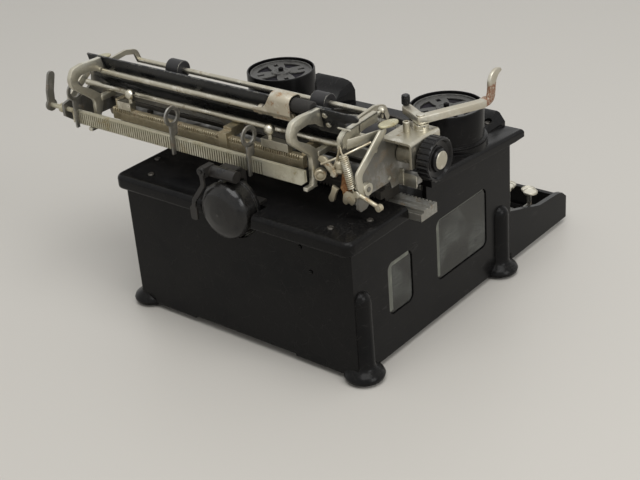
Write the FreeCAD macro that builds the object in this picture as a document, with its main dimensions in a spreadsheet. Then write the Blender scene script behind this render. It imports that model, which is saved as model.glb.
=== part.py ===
import FreeCAD, Part
import math
import os

import Sketcher
from FreeCAD import Placement, Rotation, Vector

# A front-strike desk typewriter.  Machine frame, in millimetres: X to the operator's right, -Y towards
# the operator, +Z up.  The outer face of the rear panel is y = 0 and the table top is z = 0 before the
# shift by origin_x and origin_y, which puts the origin under the middle of the whole machine.

SIZES = {
    "origin_x": -40.75, "origin_y": 165.35,
    # enamelled body
    "case_width": 257.4, "case_depth": 242, "case_wall": 4, "case_bottom": 5.5,
    "deck_top": 138, "deck_plate": 4.5, "deck_lip": 13.3, "deck_overhang": 5.8, "deck_rear_overhang": 9,
    "deck_edge_round": 4.5, "deck_corner_round": 9, "rear_deck_depth": 72, "rail_gap_front": 107,
    "rail_seat": 126, "raised_deck_rear_top": 149.4, "raised_deck_front_top": 138.2,
    "raised_deck_front": 258, "raised_deck_thick": 9, "base_relief_width": 120, "base_relief": 2,
    "leg_radius": 9.5, "leg_x": 126.4, "leg_rear": 10.8, "leg_front": 225.2, "leg_top": 76,
    "leg_front_top": 62, "foot_radius": 18, "foot_height": 11, "foot_lift": 1.6,
    "pad_radius": 12, "pad_height": 5,
    "rear_window_near": 47.3, "rear_window_far": 82.4, "rear_window_low": 42.3, "rear_window_high": 92.7,
    "front_window_near": 119.7, "front_window_far": 200.3, "front_window_low": 41.1,
    "front_window_high": 101.2, "window_round": 7, "pane_thick": 2.4, "pane_clearance": 0.15,
    "front_plate_low": 84, "front_plate_thick": 3, "screw_radius": 3.2, "screw_head": 1.2,
    # keyboard frame
    "keyboard_front": 349.7, "keyboard_wall": 5, "keyboard_rear_top": 58, "keyboard_knee": 298,
    "keyboard_knee_top": 40.5, "keyboard_nose": 334, "keyboard_nose_top": 38, "keyboard_front_top": 29,
    # key levers and keys
    "fulcrum_y": 25, "fulcrum_z": 24, "fulcrum_radius": 2.5, "running_clearance": 0.05,
    "lever_thick": 1.5, "lever_height": 7, "lever_hub_radius": 5, "key_pitch": 19, "key_radius": 7,
    "key_ring_height": 2.6, "stem_width": 3, "row_1_y": 262, "row_1_top": 69,
    "row_step": 19, "row_drop": 8.5, "space_bar_y": 338, "space_bar_top": 36, "space_bar_length": 118,
    "space_bar_width": 11, "comb_bar_y": 246, "comb_bar_low": 6, "comb_bar_high": 34, "comb_bar_thick": 2.5,
    "comb_slot_clearance": 0.35, "shift_left_x": 103, "shift_right_x": 110, "shift_tube_y": 60,
    "shift_tube_z": 12, "shift_tube_radius": 3,
    # type basket
    "print_y": 106.2, "print_z": 180, "basket_tilt": 6, "basket_reach": 57.7, "pivot_radius": 36,
    "bar_thick": 0.6, "bar_height": 4.5, "bar_head_height": 3.6, "bar_count": 42,
    "bar_pitch": 1.66, "bar_clearance": 0.04, "sample_clearance": 0.3, "scoop_half": 61.5,
    "segment_inner": 24, "segment_outer": 41, "segment_thick": 9, "slot_inner": 29,
    "wire_radius": 0.8, "slug_length": 6.6, "slug_width": 2.6, "slug_depth": 3.2, "slug_turn": 52,
    "carrier_drop": 14, "carrier_height": 12, "guard_inner": 82, "guard_outer": 110.5, "guard_floor": -6.3,
    "guard_floor_thick": 2, "guard_wall": 2.4, "guard_top": 7, "guard_half_angle": 33,
    "rest_pad_width": 5, "rest_pad_height": 2, "guard_leg_radius": 2.6, "guard_leg_x": 67,
    "guard_leg_y": 101, "scoop_floor": 118, "scoop_sill": 128.5, "cheek_rise": 151, "cheek_outer": 114,
    "deck_screw_x": 106, "deck_screw_y": 240,
    "guide_y": 111.2, "guide_top": 178, "guide_slot": 4.4, "guide_width": 24,
    "guide_thick": 1.6, "guide_strap": 9,
    # ribbon
    "cup_x": 96.5, "cup_y": 188, "cup_radius": 33.5, "cup_wall": 1.6, "cup_top": 180, "cup_bottom": 141,
    "spool_radius": 30.5, "spool_gap": 0.3, "spool_hub": 8, "spool_flange": 1.4, "spool_top": 178,
    "spool_height": 17, "spindle_radius": 2.5, "boss_top": 149, "ribbon_radius": 22,
    # mainspring drum
    "drum_x": -3, "drum_z": 135.5, "drum_radius": 25.5, "drum_rear": 9, "drum_front": 8, "drum_dome": 10,
    "drum_notch_gap": 3, "tube_radius": 5.2, "tube_y": 4.5, "tube_z": 168, "tube_length": 29,
    "arbor_radius": 3, "paddle_x": 13, "paddle_y": 16, "paddle_z": 171,
    # rail and truck
    "rail_length": 294, "rail_rear": 73, "rail_front": 96, "rail_tooth": 3.7, "rail_tooth_depth": 2.2,
    "rail_top": 135, "truck_clearance": 0.3, "truck_top": 150.7, "rack_tooth": 3.6, "rack_thick": 6,
    "rack_low": 139.4, "pinion_teeth": 20,
    "pinion_thick": 4, "rack_mesh": 0.6, "escape_slot_width": 32, "escape_slot_depth": 14, "post_radius": 3,
    "post_top": 158,
    # carriage
    "plate_left": -119, "plate_right": 216, "plate_thick": 3, "bed_low": 151, "bed_thick": 4.5,
    "platen_y": 88.2, "platen_z": 179, "platen_radius": 17, "platen_end_gap": 3, "shaft_radius": 4,
    "pin_radius": 2, "knob_radius": 19, "knob_left_inner": -145.6, "knob_right_inner": 221,
    "knob_width": 12, "knob_flute": 1.5, "pan_gap": 1.2, "pan_thick": 1.2,
    "comb_y": 18, "comb_thick": 3, "comb_low": 164.5, "comb_high": 178, "comb_right": 209,
    "comb_teeth_left": -26.5, "comb_left": -72.5, "comb_pitch": 2.8, "comb_slot": 1.3, "comb_slot_depth": 9.5,
    "comb_rod_radius": 2.2, "comb_rod_right": 243.4, "comb_rod_z": 175.8, "stop_ring_y": 17,
    "stop_ring_z": 197, "stop_ring_radius": 9.5, "stop_ring_hole": 5.8, "tab_lever_x": 238.8,
    "tab_lever_thick": 2.4, "arm_left": -73.8, "arm_right": 184.5, "arm_width": 6, "arm_depth": 4,
    "margin_rack_y": 31, "margin_rack_low": 173, "margin_rack_high": 184, "margin_tooth": 2.54,
    "margin_rack_left": -62, "margin_rack_right": 165, "margin_ball": 4.8, "margin_ball_z": 199.5,
    "rear_rail_y": 52, "rear_rail_low": 184, "rear_rail_high": 193, "upper_rod_y": 38.5,
    "upper_rod_z": 213, "upper_rod_radius": 2.6, "upper_rod_left": -52, "lower_rod_y": 46,
    "lower_rod_z": 193.5, "lower_rod_radius": 2.8, "lower_rod_left": -97.5,
    "table_left": -85.5, "table_right": 203, "table_top_y": 40, "table_top_z": 226, "table_knee_y": 45.5,
    "table_knee_z": 204, "table_foot_y": 66, "table_foot_z": 184.5, "table_thick": 1.6,
    "table_wing_left": -117, "table_wing_low": 203.5,
    "guide_clip_left": -50, "guide_clip_right": -7, "guide_clip_top": 235,
    "housing_left": -144.9, "housing_right": -114.7, "housing_top": 198, "housing_rear": 65.7,
    "housing_front": 106.6, "housing_low": 176, "housing_plate": 2.2, "return_x": -131.5, "return_y": 99,
    "return_post": 3.6, "return_arm_low": 202, "return_arm_thick": 7, "handle_tip_y": 174,
    "handle_tip_z": 226.5, "release_y": 36, "release_z": 166, "linkage_x": -101, "channel_low": 205,
    "bail_y": 107, "bail_z": 197, "bail_rod_radius": 2.6, "bail_roller": 8.7, "bail_left": -92,
    "bail_right": 208.6, "bail_pivot_y": 60, "bail_pivot_z": 199, "bail_shaft_radius": 2.2,
}

DOC = FreeCAD.newDocument("desk_typewriter")
SHEET = DOC.addObject("Spreadsheet::Sheet", "Sizes")


class Size:
    """A size that keeps its number and the spreadsheet expression that gives it."""

    def __init__(self, number, text):
        self.number = float(number)
        self.text = text

    def __float__(self):
        return self.number

    def __add__(self, other):
        return Size(self.number + float(other), f"({self.text} + {text_of(other)})")

    def __sub__(self, other):
        return Size(self.number - float(other), f"({self.text} - {text_of(other)})")

    def __mul__(self, other):
        return Size(self.number * float(other), f"({self.text} * {text_of(other)})")

    def __truediv__(self, other):
        return Size(self.number / float(other), f"({self.text} / {text_of(other)})")

    def __radd__(self, other):
        return Size(float(other) + self.number, f"({text_of(other)} + {self.text})")

    def __rsub__(self, other):
        return Size(float(other) - self.number, f"({text_of(other)} - {self.text})")

    def __rmul__(self, other):
        return Size(float(other) * self.number, f"({text_of(other)} * {self.text})")

    def __neg__(self):
        return Size(-self.number, f"(0 - {self.text})")


def text_of(value):
    return value.text if isinstance(value, Size) else f"({float(value)})"


class SizeSheet:
    """The driving sizes, each an attribute of its own name."""


S = SizeSheet()
for row, (alias, number) in enumerate(SIZES.items(), start=1):
    SHEET.set(f"A{row}", alias)
    SHEET.set(f"B{row}", str(number))
    SHEET.setAlias(f"B{row}", alias)
    setattr(S, alias, Size(number, f"Sizes.{alias}"))
DOC.recompute()

PLANES = {"XY": "XY_Plane", "XZ": "XZ_Plane", "YZ": "YZ_Plane"}
TURN = {
    "Z": Rotation(), "-Z": Rotation(Vector(1, 0, 0), 180),
    "X": Rotation(Vector(0, 1, 0), 90), "-X": Rotation(Vector(0, 1, 0), -90),
    "Y": Rotation(Vector(1, 0, 0), -90), "-Y": Rotation(Vector(1, 0, 0), 90),
}
NODES = []


# ---------------------------------------------------------------- building helpers

def bind(item, path, value):
    """Ties one property path of a document object to the spreadsheet."""
    if isinstance(value, Size):
        item.setExpression(path, value.text)


def put(item, x, y, z, rotation=None):
    """Places an object at a machine point, with the frame's shift added."""
    spot = (x + S.origin_x, y + S.origin_y, z)
    item.Placement = Placement(Vector(*[float(part) for part in spot]), rotation or Rotation())
    for axis, part in zip("xyz", spot):
        bind(item, f"Placement.Base.{axis}", part)
    return item


def length(item, name, value):
    setattr(item, name, float(value))
    bind(item, name, value)


def box(x, y, z):
    """A block between two limits along each axis."""
    item = DOC.addObject("Part::Box", "Block")
    for name, (low, high) in zip(("Length", "Width", "Height"), (x, y, z)):
        length(item, name, high - low)
    return put(item, x[0], y[0], z[0])


def rod(axis, start, radius, reach, rotation=None):
    """A round bar from a start point along an axis."""
    item = DOC.addObject("Part::Cylinder", "Rod")
    length(item, "Radius", radius)
    length(item, "Height", reach)
    return put(item, *start, rotation or TURN[axis])


def ball(centre, radius):
    item = DOC.addObject("Part::Sphere", "Ball")
    length(item, "Radius", radius)
    return put(item, *centre)


def fuse(*items):
    item = DOC.addObject("Part::MultiFuse", "Joined")
    item.Shapes = list(items)
    item.Refine = True
    return item


def cut(base, *tools):
    item = DOC.addObject("Part::Cut", "Cut")
    item.Base = base
    item.Tool = tools[0] if len(tools) == 1 else fuse(*tools)
    item.Refine = True
    return item


def group(*items):
    """Separate solids kept together in one node."""
    item = DOC.addObject("Part::Compound", "Group")
    item.Links = list(items)
    return item


def node(label, item):
    item.Label = label
    NODES.append(item)
    return item


def shaped(shape):
    """A free-form piece, built in machine coordinates by Part's own functions."""
    item = DOC.addObject("Part::Feature", "Shaped")
    item.Shape = Part.makeCompound(shape.Solids)
    return put(item, 0, 0, 0)


def new_body():
    body = DOC.addObject("PartDesign::Body", "Body")
    put(body, 0, 0, 0)
    return body


def new_sketch(body, plane, offset):
    sketch = body.newObject("Sketcher::SketchObject", "Outline")
    flat = next(part for part in body.Origin.OriginFeatures if part.Role == PLANES[plane])
    sketch.AttachmentSupport = [(flat, "")]
    sketch.MapMode = "FlatFace"
    depth = -offset if plane == "XZ" else offset
    sketch.AttachmentOffset = Placement(Vector(0, 0, float(depth)), Rotation())
    bind(sketch, "AttachmentOffset.Base.z", depth)
    return sketch


def draw(sketch, corners):
    """Draws a closed outline whose corners are held to the origin by bound distances."""
    first = sketch.GeometryCount
    count = len(corners)
    spots = [Vector(float(u), float(v), 0) for u, v in corners]
    sketch.addGeometry([Part.LineSegment(spots[i], spots[(i + 1) % count]) for i in range(count)], False)
    joints = [Sketcher.Constraint("Coincident", first + i, 2, first + (i + 1) % count, 1)
              for i in range(count)]
    sketch.addConstraint(joints)
    for i, (u, v) in enumerate(corners):
        for kind, value in (("DistanceX", u), ("DistanceY", v)):
            number = sketch.ConstraintCount
            sketch.addConstraint(Sketcher.Constraint(kind, -1, 1, first + i, 1, float(value)))
            bind(sketch, f"Constraints[{number}]", value)


def draw_circle(sketch, centre, radius):
    first = sketch.GeometryCount
    sketch.addGeometry(Part.Circle(Vector(float(centre[0]), float(centre[1]), 0), Vector(0, 0, 1),
                                   float(radius)), False)
    for kind, value in (("DistanceX", centre[0]), ("DistanceY", centre[1])):
        number = sketch.ConstraintCount
        sketch.addConstraint(Sketcher.Constraint(kind, -1, 1, first, 3, float(value)))
        bind(sketch, f"Constraints[{number}]", value)
    number = sketch.ConstraintCount
    sketch.addConstraint(Sketcher.Constraint("Radius", first, float(radius)))
    bind(sketch, f"Constraints[{number}]", radius)


def pad(body, plane, offset, depth, corners=None, circle=None, kind="PartDesign::Pad", back=False):
    """Pads or pockets one outline by a depth along the plane's own direction."""
    sketch = new_sketch(body, plane, offset)
    if corners:
        draw(sketch, corners)
    if circle:
        draw_circle(sketch, *circle)
    feature = body.newObject(kind, "Step")
    feature.Profile = sketch
    feature.Reversed = back
    length(feature, "Length", depth)
    return feature


def pocket(body, plane, offset, depth, corners=None, circle=None, back=True):
    return pad(body, plane, offset, depth, corners, circle, "PartDesign::Pocket", not back)


def plate(plane, offset, depth, corners):
    """A body padded from one outline."""
    body = new_body()
    pad(body, plane, offset, depth, corners)
    return body


def soften(body, picks, radius, kind="PartDesign::Fillet"):
    """Rounds or chamfers those edges of the body's last feature that a test picks."""
    DOC.recompute()
    last = body.Tip
    names = [f"Edge{i + 1}" for i, edge in enumerate(last.Shape.Edges) if picks(edge)]
    feature = body.newObject(kind, "Softened")
    feature.Base = (last, names)
    length(feature, "Radius" if kind.endswith("Fillet") else "Size", radius)
    return feature


def along(axis, **near):
    """Picks straight edges along an axis, at the given coordinates of the other axes."""
    def test(edge):
        direction = edge.tangentAt(edge.FirstParameter)
        if abs(abs(getattr(direction, axis)) - 1) > 1e-6:
            return False
        middle = edge.CenterOfMass
        return all(any(abs(getattr(middle, other) - float(value)) < 0.01 for value in values)
                   for other, values in near.items())
    return test


def turned(profile, centre, axis="Z"):
    """A body revolved from a profile of (radius, height) corners about an axis through a point."""
    body = DOC.addObject("PartDesign::Body", "Turned")
    sketch = new_sketch(body, "XZ", 0)
    draw(sketch, profile)
    feature = body.newObject("PartDesign::Revolution", "Turning")
    feature.Profile = sketch
    feature.ReferenceAxis = (sketch, ["V_Axis"])
    feature.Angle = 360
    return put(body, *centre, TURN[axis])


def round_pattern(body, feature, count):
    pattern = body.newObject("PartDesign::PolarPattern", "Round")
    pattern.Originals = [feature]
    pattern.Axis = (next(part for part in body.Origin.OriginFeatures if part.Role == "Z_Axis"), [""])
    pattern.Angle = 360
    pattern.Occurrences = count
    body.Tip = pattern
    return pattern


def bent_bar(stops, radius, width, thick, normal):
    """A flat bar along a path of straight runs and tangent arcs, width square to the bend's plane."""
    spots = [Vector(*[float(part) for part in stop]) for stop in stops]
    edges = []
    start = spots[0]
    for before, corner, after in zip(spots, spots[1:], spots[2:]):
        inward = (before - corner).normalize()
        outward = (after - corner).normalize()
        half = inward.getAngle(outward) / 2
        trim = min(radius / math.tan(half), 0.45 * (before - corner).Length, 0.45 * (after - corner).Length)
        entry = corner + inward * trim
        leave = corner + outward * trim
        bisector = (inward + outward).normalize()
        reach = trim / math.cos(half) - trim * math.tan(half)
        edges.append(Part.LineSegment(start, entry).toShape())
        edges.append(Part.Arc(entry, corner + bisector * reach, leave).toShape())
        start = leave
    edges.append(Part.LineSegment(start, spots[-1]).toShape())
    path = Part.Wire(edges)
    side = Vector(*normal).normalize()
    run = (spots[1] - spots[0]).normalize()
    flat = side.cross(run)
    w, t = float(width) / 2, float(thick) / 2
    corners = [spots[0] + side * a + flat * b for a, b in ((w, t), (-w, t), (-w, -t), (w, -t))]
    section = Part.makePolygon(corners + [corners[0]])
    return path.makePipeShell([section], True, True)


def extruded(plane, offset, depth, corners, rounds=None):
    """A shape extruded from straight corners, some of them rounded."""
    spin = {"XY": lambda u, v, w: Vector(u, v, w), "XZ": lambda u, v, w: Vector(u, w, v),
            "YZ": lambda u, v, w: Vector(w, u, v)}[plane]
    spots = [spin(float(u), float(v), float(offset)) for u, v in corners]
    shape = Part.Face(Part.makePolygon(spots + [spots[0]]))
    solid = shape.extrude(spin(0, 0, float(depth)))
    for radius, indexes in (rounds or {}).items():
        wanted = [spots[i] for i in indexes]
        edges = [edge for edge in solid.Edges
                 if len(edge.Vertexes) == 2
                 and abs(edge.Length - abs(float(depth))) < 1e-6
                 and any((vertex.Point - spot).Length < 1e-6 for vertex in edge.Vertexes
                         for spot in wanted)]
        solid = solid.makeFillet(float(radius), edges)
    return solid


# ---------------------------------------------------------------- enamelled body

HALF = S.case_width / 2
DECK_UNDER = S.deck_top - S.deck_plate
RAISED_SLOPE = (S.raised_deck_rear_top - S.raised_deck_front_top) / (S.raised_deck_front - S.rail_gap_front)


def raised_top(y):
    """Height of the raised deck's top at a distance from the rear panel."""
    return S.raised_deck_rear_top - RAISED_SLOPE * (y - S.rail_gap_front)


def cheek_top(y):
    """Height of the sloping top of the deck's front cheeks at a distance from the rear panel."""
    slope = (S.cheek_rise - S.raised_deck_front_top - 1) / 28
    return S.cheek_rise - slope * (S.raised_deck_front - 6 - y)


DECK_SCREW_SEAT = cheek_top(S.deck_screw_y - S.screw_radius - 0.3)


def main_case():
    relief = S.base_relief_width / 2
    rear = plate("XZ", 0, S.case_wall, [
        (-HALF, S.case_bottom), (-relief, S.case_bottom), (-relief, S.case_bottom + S.base_relief),
        (relief, S.case_bottom + S.base_relief), (relief, S.case_bottom), (HALF, S.case_bottom),
        (HALF, DECK_UNDER), (-HALF, DECK_UNDER)])
    seat = raised_top(S.rail_gap_front) - S.raised_deck_thick
    front = raised_top(S.case_depth) - S.raised_deck_thick
    pieces = [rear]
    for start in (-HALF, HALF - S.case_wall):
        side = plate("YZ", start, S.case_wall, [
            (0, S.case_bottom), (-S.case_depth, S.case_bottom), (-S.case_depth, front),
            (-S.rail_gap_front, seat), (-S.rail_gap_front, S.rail_seat),
            (-S.rear_deck_depth, S.rail_seat), (-S.rear_deck_depth, DECK_UNDER), (0, DECK_UNDER)])
        for near, far, low, high in WINDOWS:
            pocket(side, "YZ", start, S.case_wall, [(-near, low), (-far, low), (-far, high), (-near, high)],
                   back=False)
            soften(side, along("x", y=(-near, -far), z=(low, high)), S.window_round)
        pieces.append(side)
    for side in (-1, 1):
        for y, top in ((S.leg_rear, S.leg_top), (S.leg_front, S.leg_front_top)):
            spot = (side * S.leg_x, -y, 0)
            pieces.append(turned([
                (0, S.foot_lift), (S.foot_radius - 3, S.foot_lift), (S.foot_radius - 0.6, S.foot_lift + 1.6),
                (S.foot_radius, S.foot_lift + 4), (S.foot_radius - 1.2, S.foot_lift + 6.6),
                (S.foot_radius - 5, S.foot_height), (S.leg_radius + 1.2, S.foot_height + 1.6),
                (S.leg_radius, S.foot_height + 4), (S.leg_radius, top), (S.leg_radius * 0.92, top + 3.6),
                (S.leg_radius * 0.71, top + 6.7), (S.leg_radius * 0.38, top + 8.8), (0, top + 9.5)], spot))
    notch = rod("Y", (S.drum_x, -S.case_wall - 1, S.drum_z), S.drum_radius + S.drum_notch_gap,
                S.case_wall + 2)
    shell = fuse(*pieces)
    recesses = [rod("Z", (side * S.leg_x, -y, 0), S.pad_radius, S.pad_height)
                for side in (-1, 1) for y in (S.leg_rear, S.leg_front)]
    inside = box((-HALF + S.case_wall, HALF - S.case_wall), (-S.case_depth, -S.case_wall),
                 (S.foot_height + 1, S.leg_top + 20))
    node("main_case", cut(shell, notch, inside, *recesses))


WINDOWS = (
    (S.rear_window_near, S.rear_window_far, S.rear_window_low, S.rear_window_high),
    (S.front_window_near, S.front_window_far, S.front_window_low, S.front_window_high),
)


def rubber_feet():
    node("rubber_feet", group(*[
        rod("Z", (side * S.leg_x, -y, 0), S.pad_radius, S.pad_height)
        for side in (-1, 1) for y in (S.leg_rear, S.leg_front)]))


def side_windows():
    panes = []
    for side in (-1, 1):
        for near, far, low, high in WINDOWS:
            gap = S.pane_clearance
            outer = HALF - 0.8
            start = -outer if side < 0 else outer - S.pane_thick
            pane = plate("YZ", start, S.pane_thick, [
                (-near - gap, low + gap), (-far + gap, low + gap), (-far + gap, high - gap),
                (-near - gap, high - gap)])
            soften(pane, along("x"), S.window_round - gap)
            face = start if side < 0 else start + S.pane_thick
            soften(pane, lambda edge, at=float(face): abs(edge.BoundBox.XMin - at) < 0.01
                   and abs(edge.BoundBox.XMax - at) < 0.01, 1.4, "PartDesign::Chamfer")
            panes.append(pane)
    node("window_panes", group(*panes))


def rear_deck():
    edge = HALF + S.deck_overhang
    body = plate("XY", S.deck_top - S.deck_lip, S.deck_lip, [
        (-edge, -S.rear_deck_depth), (edge, -S.rear_deck_depth), (edge, S.deck_rear_overhang),
        (-edge, S.deck_rear_overhang)])
    soften(body, along("z", y=(S.deck_rear_overhang,)), S.deck_corner_round)
    soften(body, lambda line: abs(line.BoundBox.ZMin - float(S.deck_top)) < 0.01
           and line.BoundBox.YMax > -float(S.rear_deck_depth) + 0.01, S.deck_edge_round)
    soften(body, lambda line: abs(line.BoundBox.ZMax - float(S.deck_top - S.deck_lip)) < 0.01
           and line.BoundBox.YMax > -float(S.rear_deck_depth) + 0.01, S.deck_edge_round * 0.6)
    pocket(body, "XY", S.deck_top - S.deck_lip, S.deck_lip - S.deck_plate, [
        (-HALF, -S.rear_deck_depth), (HALF, -S.rear_deck_depth), (HALF, 0), (-HALF, 0)], back=False)
    reach = S.drum_radius + S.drum_notch_gap
    notch = rod("Y", (S.drum_x, -S.drum_rear - 3, S.drum_z), reach,
                S.drum_rear + 3 + S.deck_rear_overhang + 1)
    mouth = box((S.drum_x - reach, S.drum_x + reach), (-S.drum_rear - 3, S.deck_rear_overhang + 1),
                (S.drum_z, S.deck_top + 1))
    slot = box((-S.escape_slot_width / 2, S.escape_slot_width / 2),
               (-S.rear_deck_depth - 1, -S.rear_deck_depth + S.escape_slot_depth), (100, S.deck_top + 1))
    node("rear_deck", cut(body, notch, mouth, slot))


def front_deck():
    edge = HALF + S.deck_overhang
    rear, front = S.rail_gap_front, S.raised_deck_front
    body = plate("YZ", -edge, edge * 2, [
        (-rear, S.raised_deck_rear_top), (-rear, S.raised_deck_rear_top - S.raised_deck_thick),
        (-S.case_depth, raised_top(S.case_depth) - S.raised_deck_thick),
        (-front, S.raised_deck_front_top - S.raised_deck_thick + 1), (-front, S.raised_deck_front_top)])
    soften(body, lambda line: line.BoundBox.ZMin > float(S.raised_deck_front_top) - 0.01
           and line.BoundBox.YMax - line.BoundBox.YMin < 200
           and (line.BoundBox.XLength < 0.01 or abs(line.BoundBox.YMax + float(front)) < 0.01)
           and line.BoundBox.YMin < -float(rear) - 1, 4.2)
    scoop = box((-S.scoop_half, S.scoop_half), (-front - 1, -rear + 1), (100, 180))
    bosses = [rod("Z", (side * S.cup_x, -S.cup_y, S.deck_top), S.cup_radius + 3, S.boss_top - S.deck_top)
              for side in (-1, 1)]
    wells = [rod("Z", (side * S.cup_x, -S.cup_y, 100), S.cup_radius + 0.2, 80) for side in (-1, 1)]
    top = cut(fuse(body, *bosses), scoop, *wells)
    sill = box((-S.scoop_half - 1, S.scoop_half + 1), (-front, -S.case_depth - 1),
               (S.scoop_floor, S.scoop_sill))
    spots = [rod("Z", (side * S.deck_screw_x, -S.deck_screw_y, DECK_SCREW_SEAT), S.screw_radius + 1, 12)
             for side in (-1, 1)]
    node("front_deck", cut(fuse(top, sill, shaped(scoop_cheek(-1)), shaped(scoop_cheek(1))), *spots))


def scoop_cheek(side):
    """The upturned lip beside the open front of the type basket."""
    front, rise = -S.raised_deck_front, S.cheek_rise
    seat = S.raised_deck_front_top
    inner, outer = S.scoop_half, S.cheek_outer
    ramp = extruded("YZ", side * inner if side > 0 else -outer, outer - inner, [
        (front, S.scoop_floor), (front, rise - 2), (front + 2, rise), (front + 6, rise),
        (front + 34, seat + 1), (front + 34, seat - 4), (-S.case_depth - 1, seat - 6),
        (-S.case_depth - 1, S.scoop_floor)])
    face = extruded("XZ", front - 5, 50, [
        (side * inner, S.scoop_floor - 1), (side * inner, seat + 2), (side * (inner + 4), seat + 9),
        (side * (inner + 13), rise), (side * (outer - 8), rise + 1), (side * outer, seat + 3),
        (side * outer, seat - 3), (side * (inner + 6), seat - 6), (side * (inner + 6), S.scoop_floor - 1)])
    return ramp.common(face)


def front_plate():
    inner = HALF - S.case_wall
    top = raised_top(S.case_depth) - S.raised_deck_thick
    node("front_plate", plate("XZ", -S.case_depth + S.front_plate_thick + 1, S.front_plate_thick, [
        (-inner, S.front_plate_low), (inner, S.front_plate_low), (inner, top), (-inner, top)]))


def keyboard_frame():
    outline = [
        (-S.case_depth, S.case_bottom), (-S.keyboard_front, S.case_bottom),
        (-S.keyboard_front, S.keyboard_front_top), (-S.keyboard_nose - 8, S.keyboard_nose_top - 2.5),
        (-S.keyboard_nose, S.keyboard_nose_top), (-S.keyboard_knee, S.keyboard_knee_top),
        (-S.case_depth, S.keyboard_rear_top)]
    sides = [plate("YZ", start, S.keyboard_wall, outline) for start in (-HALF, HALF - S.keyboard_wall)]
    front = box((-HALF, HALF), (-S.keyboard_front, -S.keyboard_front + S.keyboard_wall),
                (S.case_bottom, S.keyboard_front_top))
    lip = box((-HALF + S.keyboard_wall, HALF - S.keyboard_wall),
              (-S.keyboard_front + S.keyboard_wall, -S.keyboard_front + S.keyboard_wall + 6),
              (S.case_bottom, S.case_bottom + 3))
    feet = [rod("Z", (side * S.leg_x, -S.leg_front, 0), S.foot_radius + 0.3, S.foot_height + 2)
            for side in (-1, 1)]
    node("keyboard_frame", cut(fuse(*sides, front, lip), *feet))


def deck_screws():
    heads = []
    for x, y in ((103, 8.5), (122, 36), (-103, 8.5), (-122, 36)):
        heads.append(screw_head((x, -y, S.deck_top)))
    for side in (-1, 1):
        heads.append(screw_head((side * S.deck_screw_x, -S.deck_screw_y, DECK_SCREW_SEAT)))
    node("deck_screws", group(*heads))


def screw_head(spot, axis="Z", radius=None):
    radius = radius or S.screw_radius
    return turned([(0, 0), (radius, 0), (radius, S.screw_head * 0.5), (radius * 0.7, S.screw_head),
                   (0, S.screw_head)], spot, axis)


main_case()
rubber_feet()
side_windows()
rear_deck()
front_deck()
front_plate()
keyboard_frame()
deck_screws()


# ---------------------------------------------------------------- key levers and keys

ROW_STARTS = (-4.5, -5, -4.75, -4.25)
ROW_COUNTS = (10, 11, 11, 10)
SAMPLE_ROW, SAMPLE_KEY = 1, 5
INNER = HALF - S.case_wall


def key_x(row, index):
    return S.key_pitch * (ROW_STARTS[row] + index)


def lever_profile(body_x, reach, top, foot=None):
    """One lever seen from the side: a hub on the fulcrum, a flat arm and an upright stem."""
    low = S.fulcrum_z - S.lever_height / 2
    high = S.fulcrum_z + S.lever_height / 2
    start = body_x - S.lever_thick / 2
    half = S.stem_width / 2
    arm = plate("YZ", start, S.lever_thick, [
        (-S.fulcrum_y, high), (-S.fulcrum_y, low), (-reach - half, low), (-reach - half, top),
        (-reach + half, top), (-reach + half, high)])
    hub = rod("X", (start, -S.fulcrum_y, S.fulcrum_z), S.lever_hub_radius, S.lever_thick)
    bore = rod("X", (start - 1, -S.fulcrum_y, S.fulcrum_z), S.fulcrum_radius + S.running_clearance,
               S.lever_thick + 2)
    return cut(fuse(arm, hub), bore)


def key_cap(x, y, top, radius=None):
    """A round key: a rimmed metal cup with a shallow disc on it."""
    radius = radius or S.key_radius
    base = top - S.key_ring_height
    return turned([(0, 0), (radius * 0.6, 0), (radius, S.key_ring_height * 0.45),
                   (radius, S.key_ring_height), (radius - 0.8, S.key_ring_height),
                   (radius - 1.1, S.key_ring_height - 0.5), (0, S.key_ring_height - 0.5 + 0.4)],
                  (x, y, base))


def key_piece(x, y_reach, top):
    return fuse(lever_profile(x, y_reach, top - S.key_ring_height), key_cap(x, -y_reach, top))


def repeated(item, shifts):
    """Copies of one finished solid, kept as separate solids of one node."""
    DOC.recompute()
    copies = [item.Shape.translated(Vector(*[float(part) for part in shift])) for shift in shifts]
    result = DOC.addObject("Part::Feature", "Repeats")
    result.Shape = Part.makeCompound(copies)
    return result


def row_place(row):
    return S.row_1_y + S.row_step * row, S.row_1_top - S.row_drop * row


def key_rows():
    for row, count in enumerate(ROW_COUNTS):
        reach, top = row_place(row)
        first = key_piece(key_x(row, 0), reach, top)
        shifts = [(S.key_pitch * index, 0, 0) for index in range(count)
                  if (row, index) != (SAMPLE_ROW, SAMPLE_KEY)]
        node(f"key_row_{row + 1}", repeated(first, shifts))
    reach, top = row_place(SAMPLE_ROW)
    node("sample_key", key_piece(key_x(SAMPLE_ROW, SAMPLE_KEY), reach, top))


SIDE_KEYS = (
    ("shift_lock_key", -116.5, 2), ("margin_release_key", -109.5, 0), ("tab_key", 117, 1),
    ("backspace_key", 103, 0),
)


def side_keys():
    for label, x, row in SIDE_KEYS:
        reach, top = row_place(row)
        node(label, key_piece(x, reach, top))
    reach, top = row_place(3)
    left, right = -S.shift_left_x, S.shift_right_x
    tube_y, tube_z, radius = -S.shift_tube_y, S.shift_tube_z, S.shift_tube_radius
    pieces = [key_piece(x, reach, top) for x in (left, right)]
    pieces.append(rod("X", (left - 0.5, tube_y, tube_z), radius, right - left + 1))
    for x in (left, right):
        pieces.append(box((x - S.lever_thick / 2, x + S.lever_thick / 2), (tube_y - radius, tube_y + radius),
                          (tube_z, S.fulcrum_z)))
    node("shift_keys", fuse(*pieces))


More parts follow.
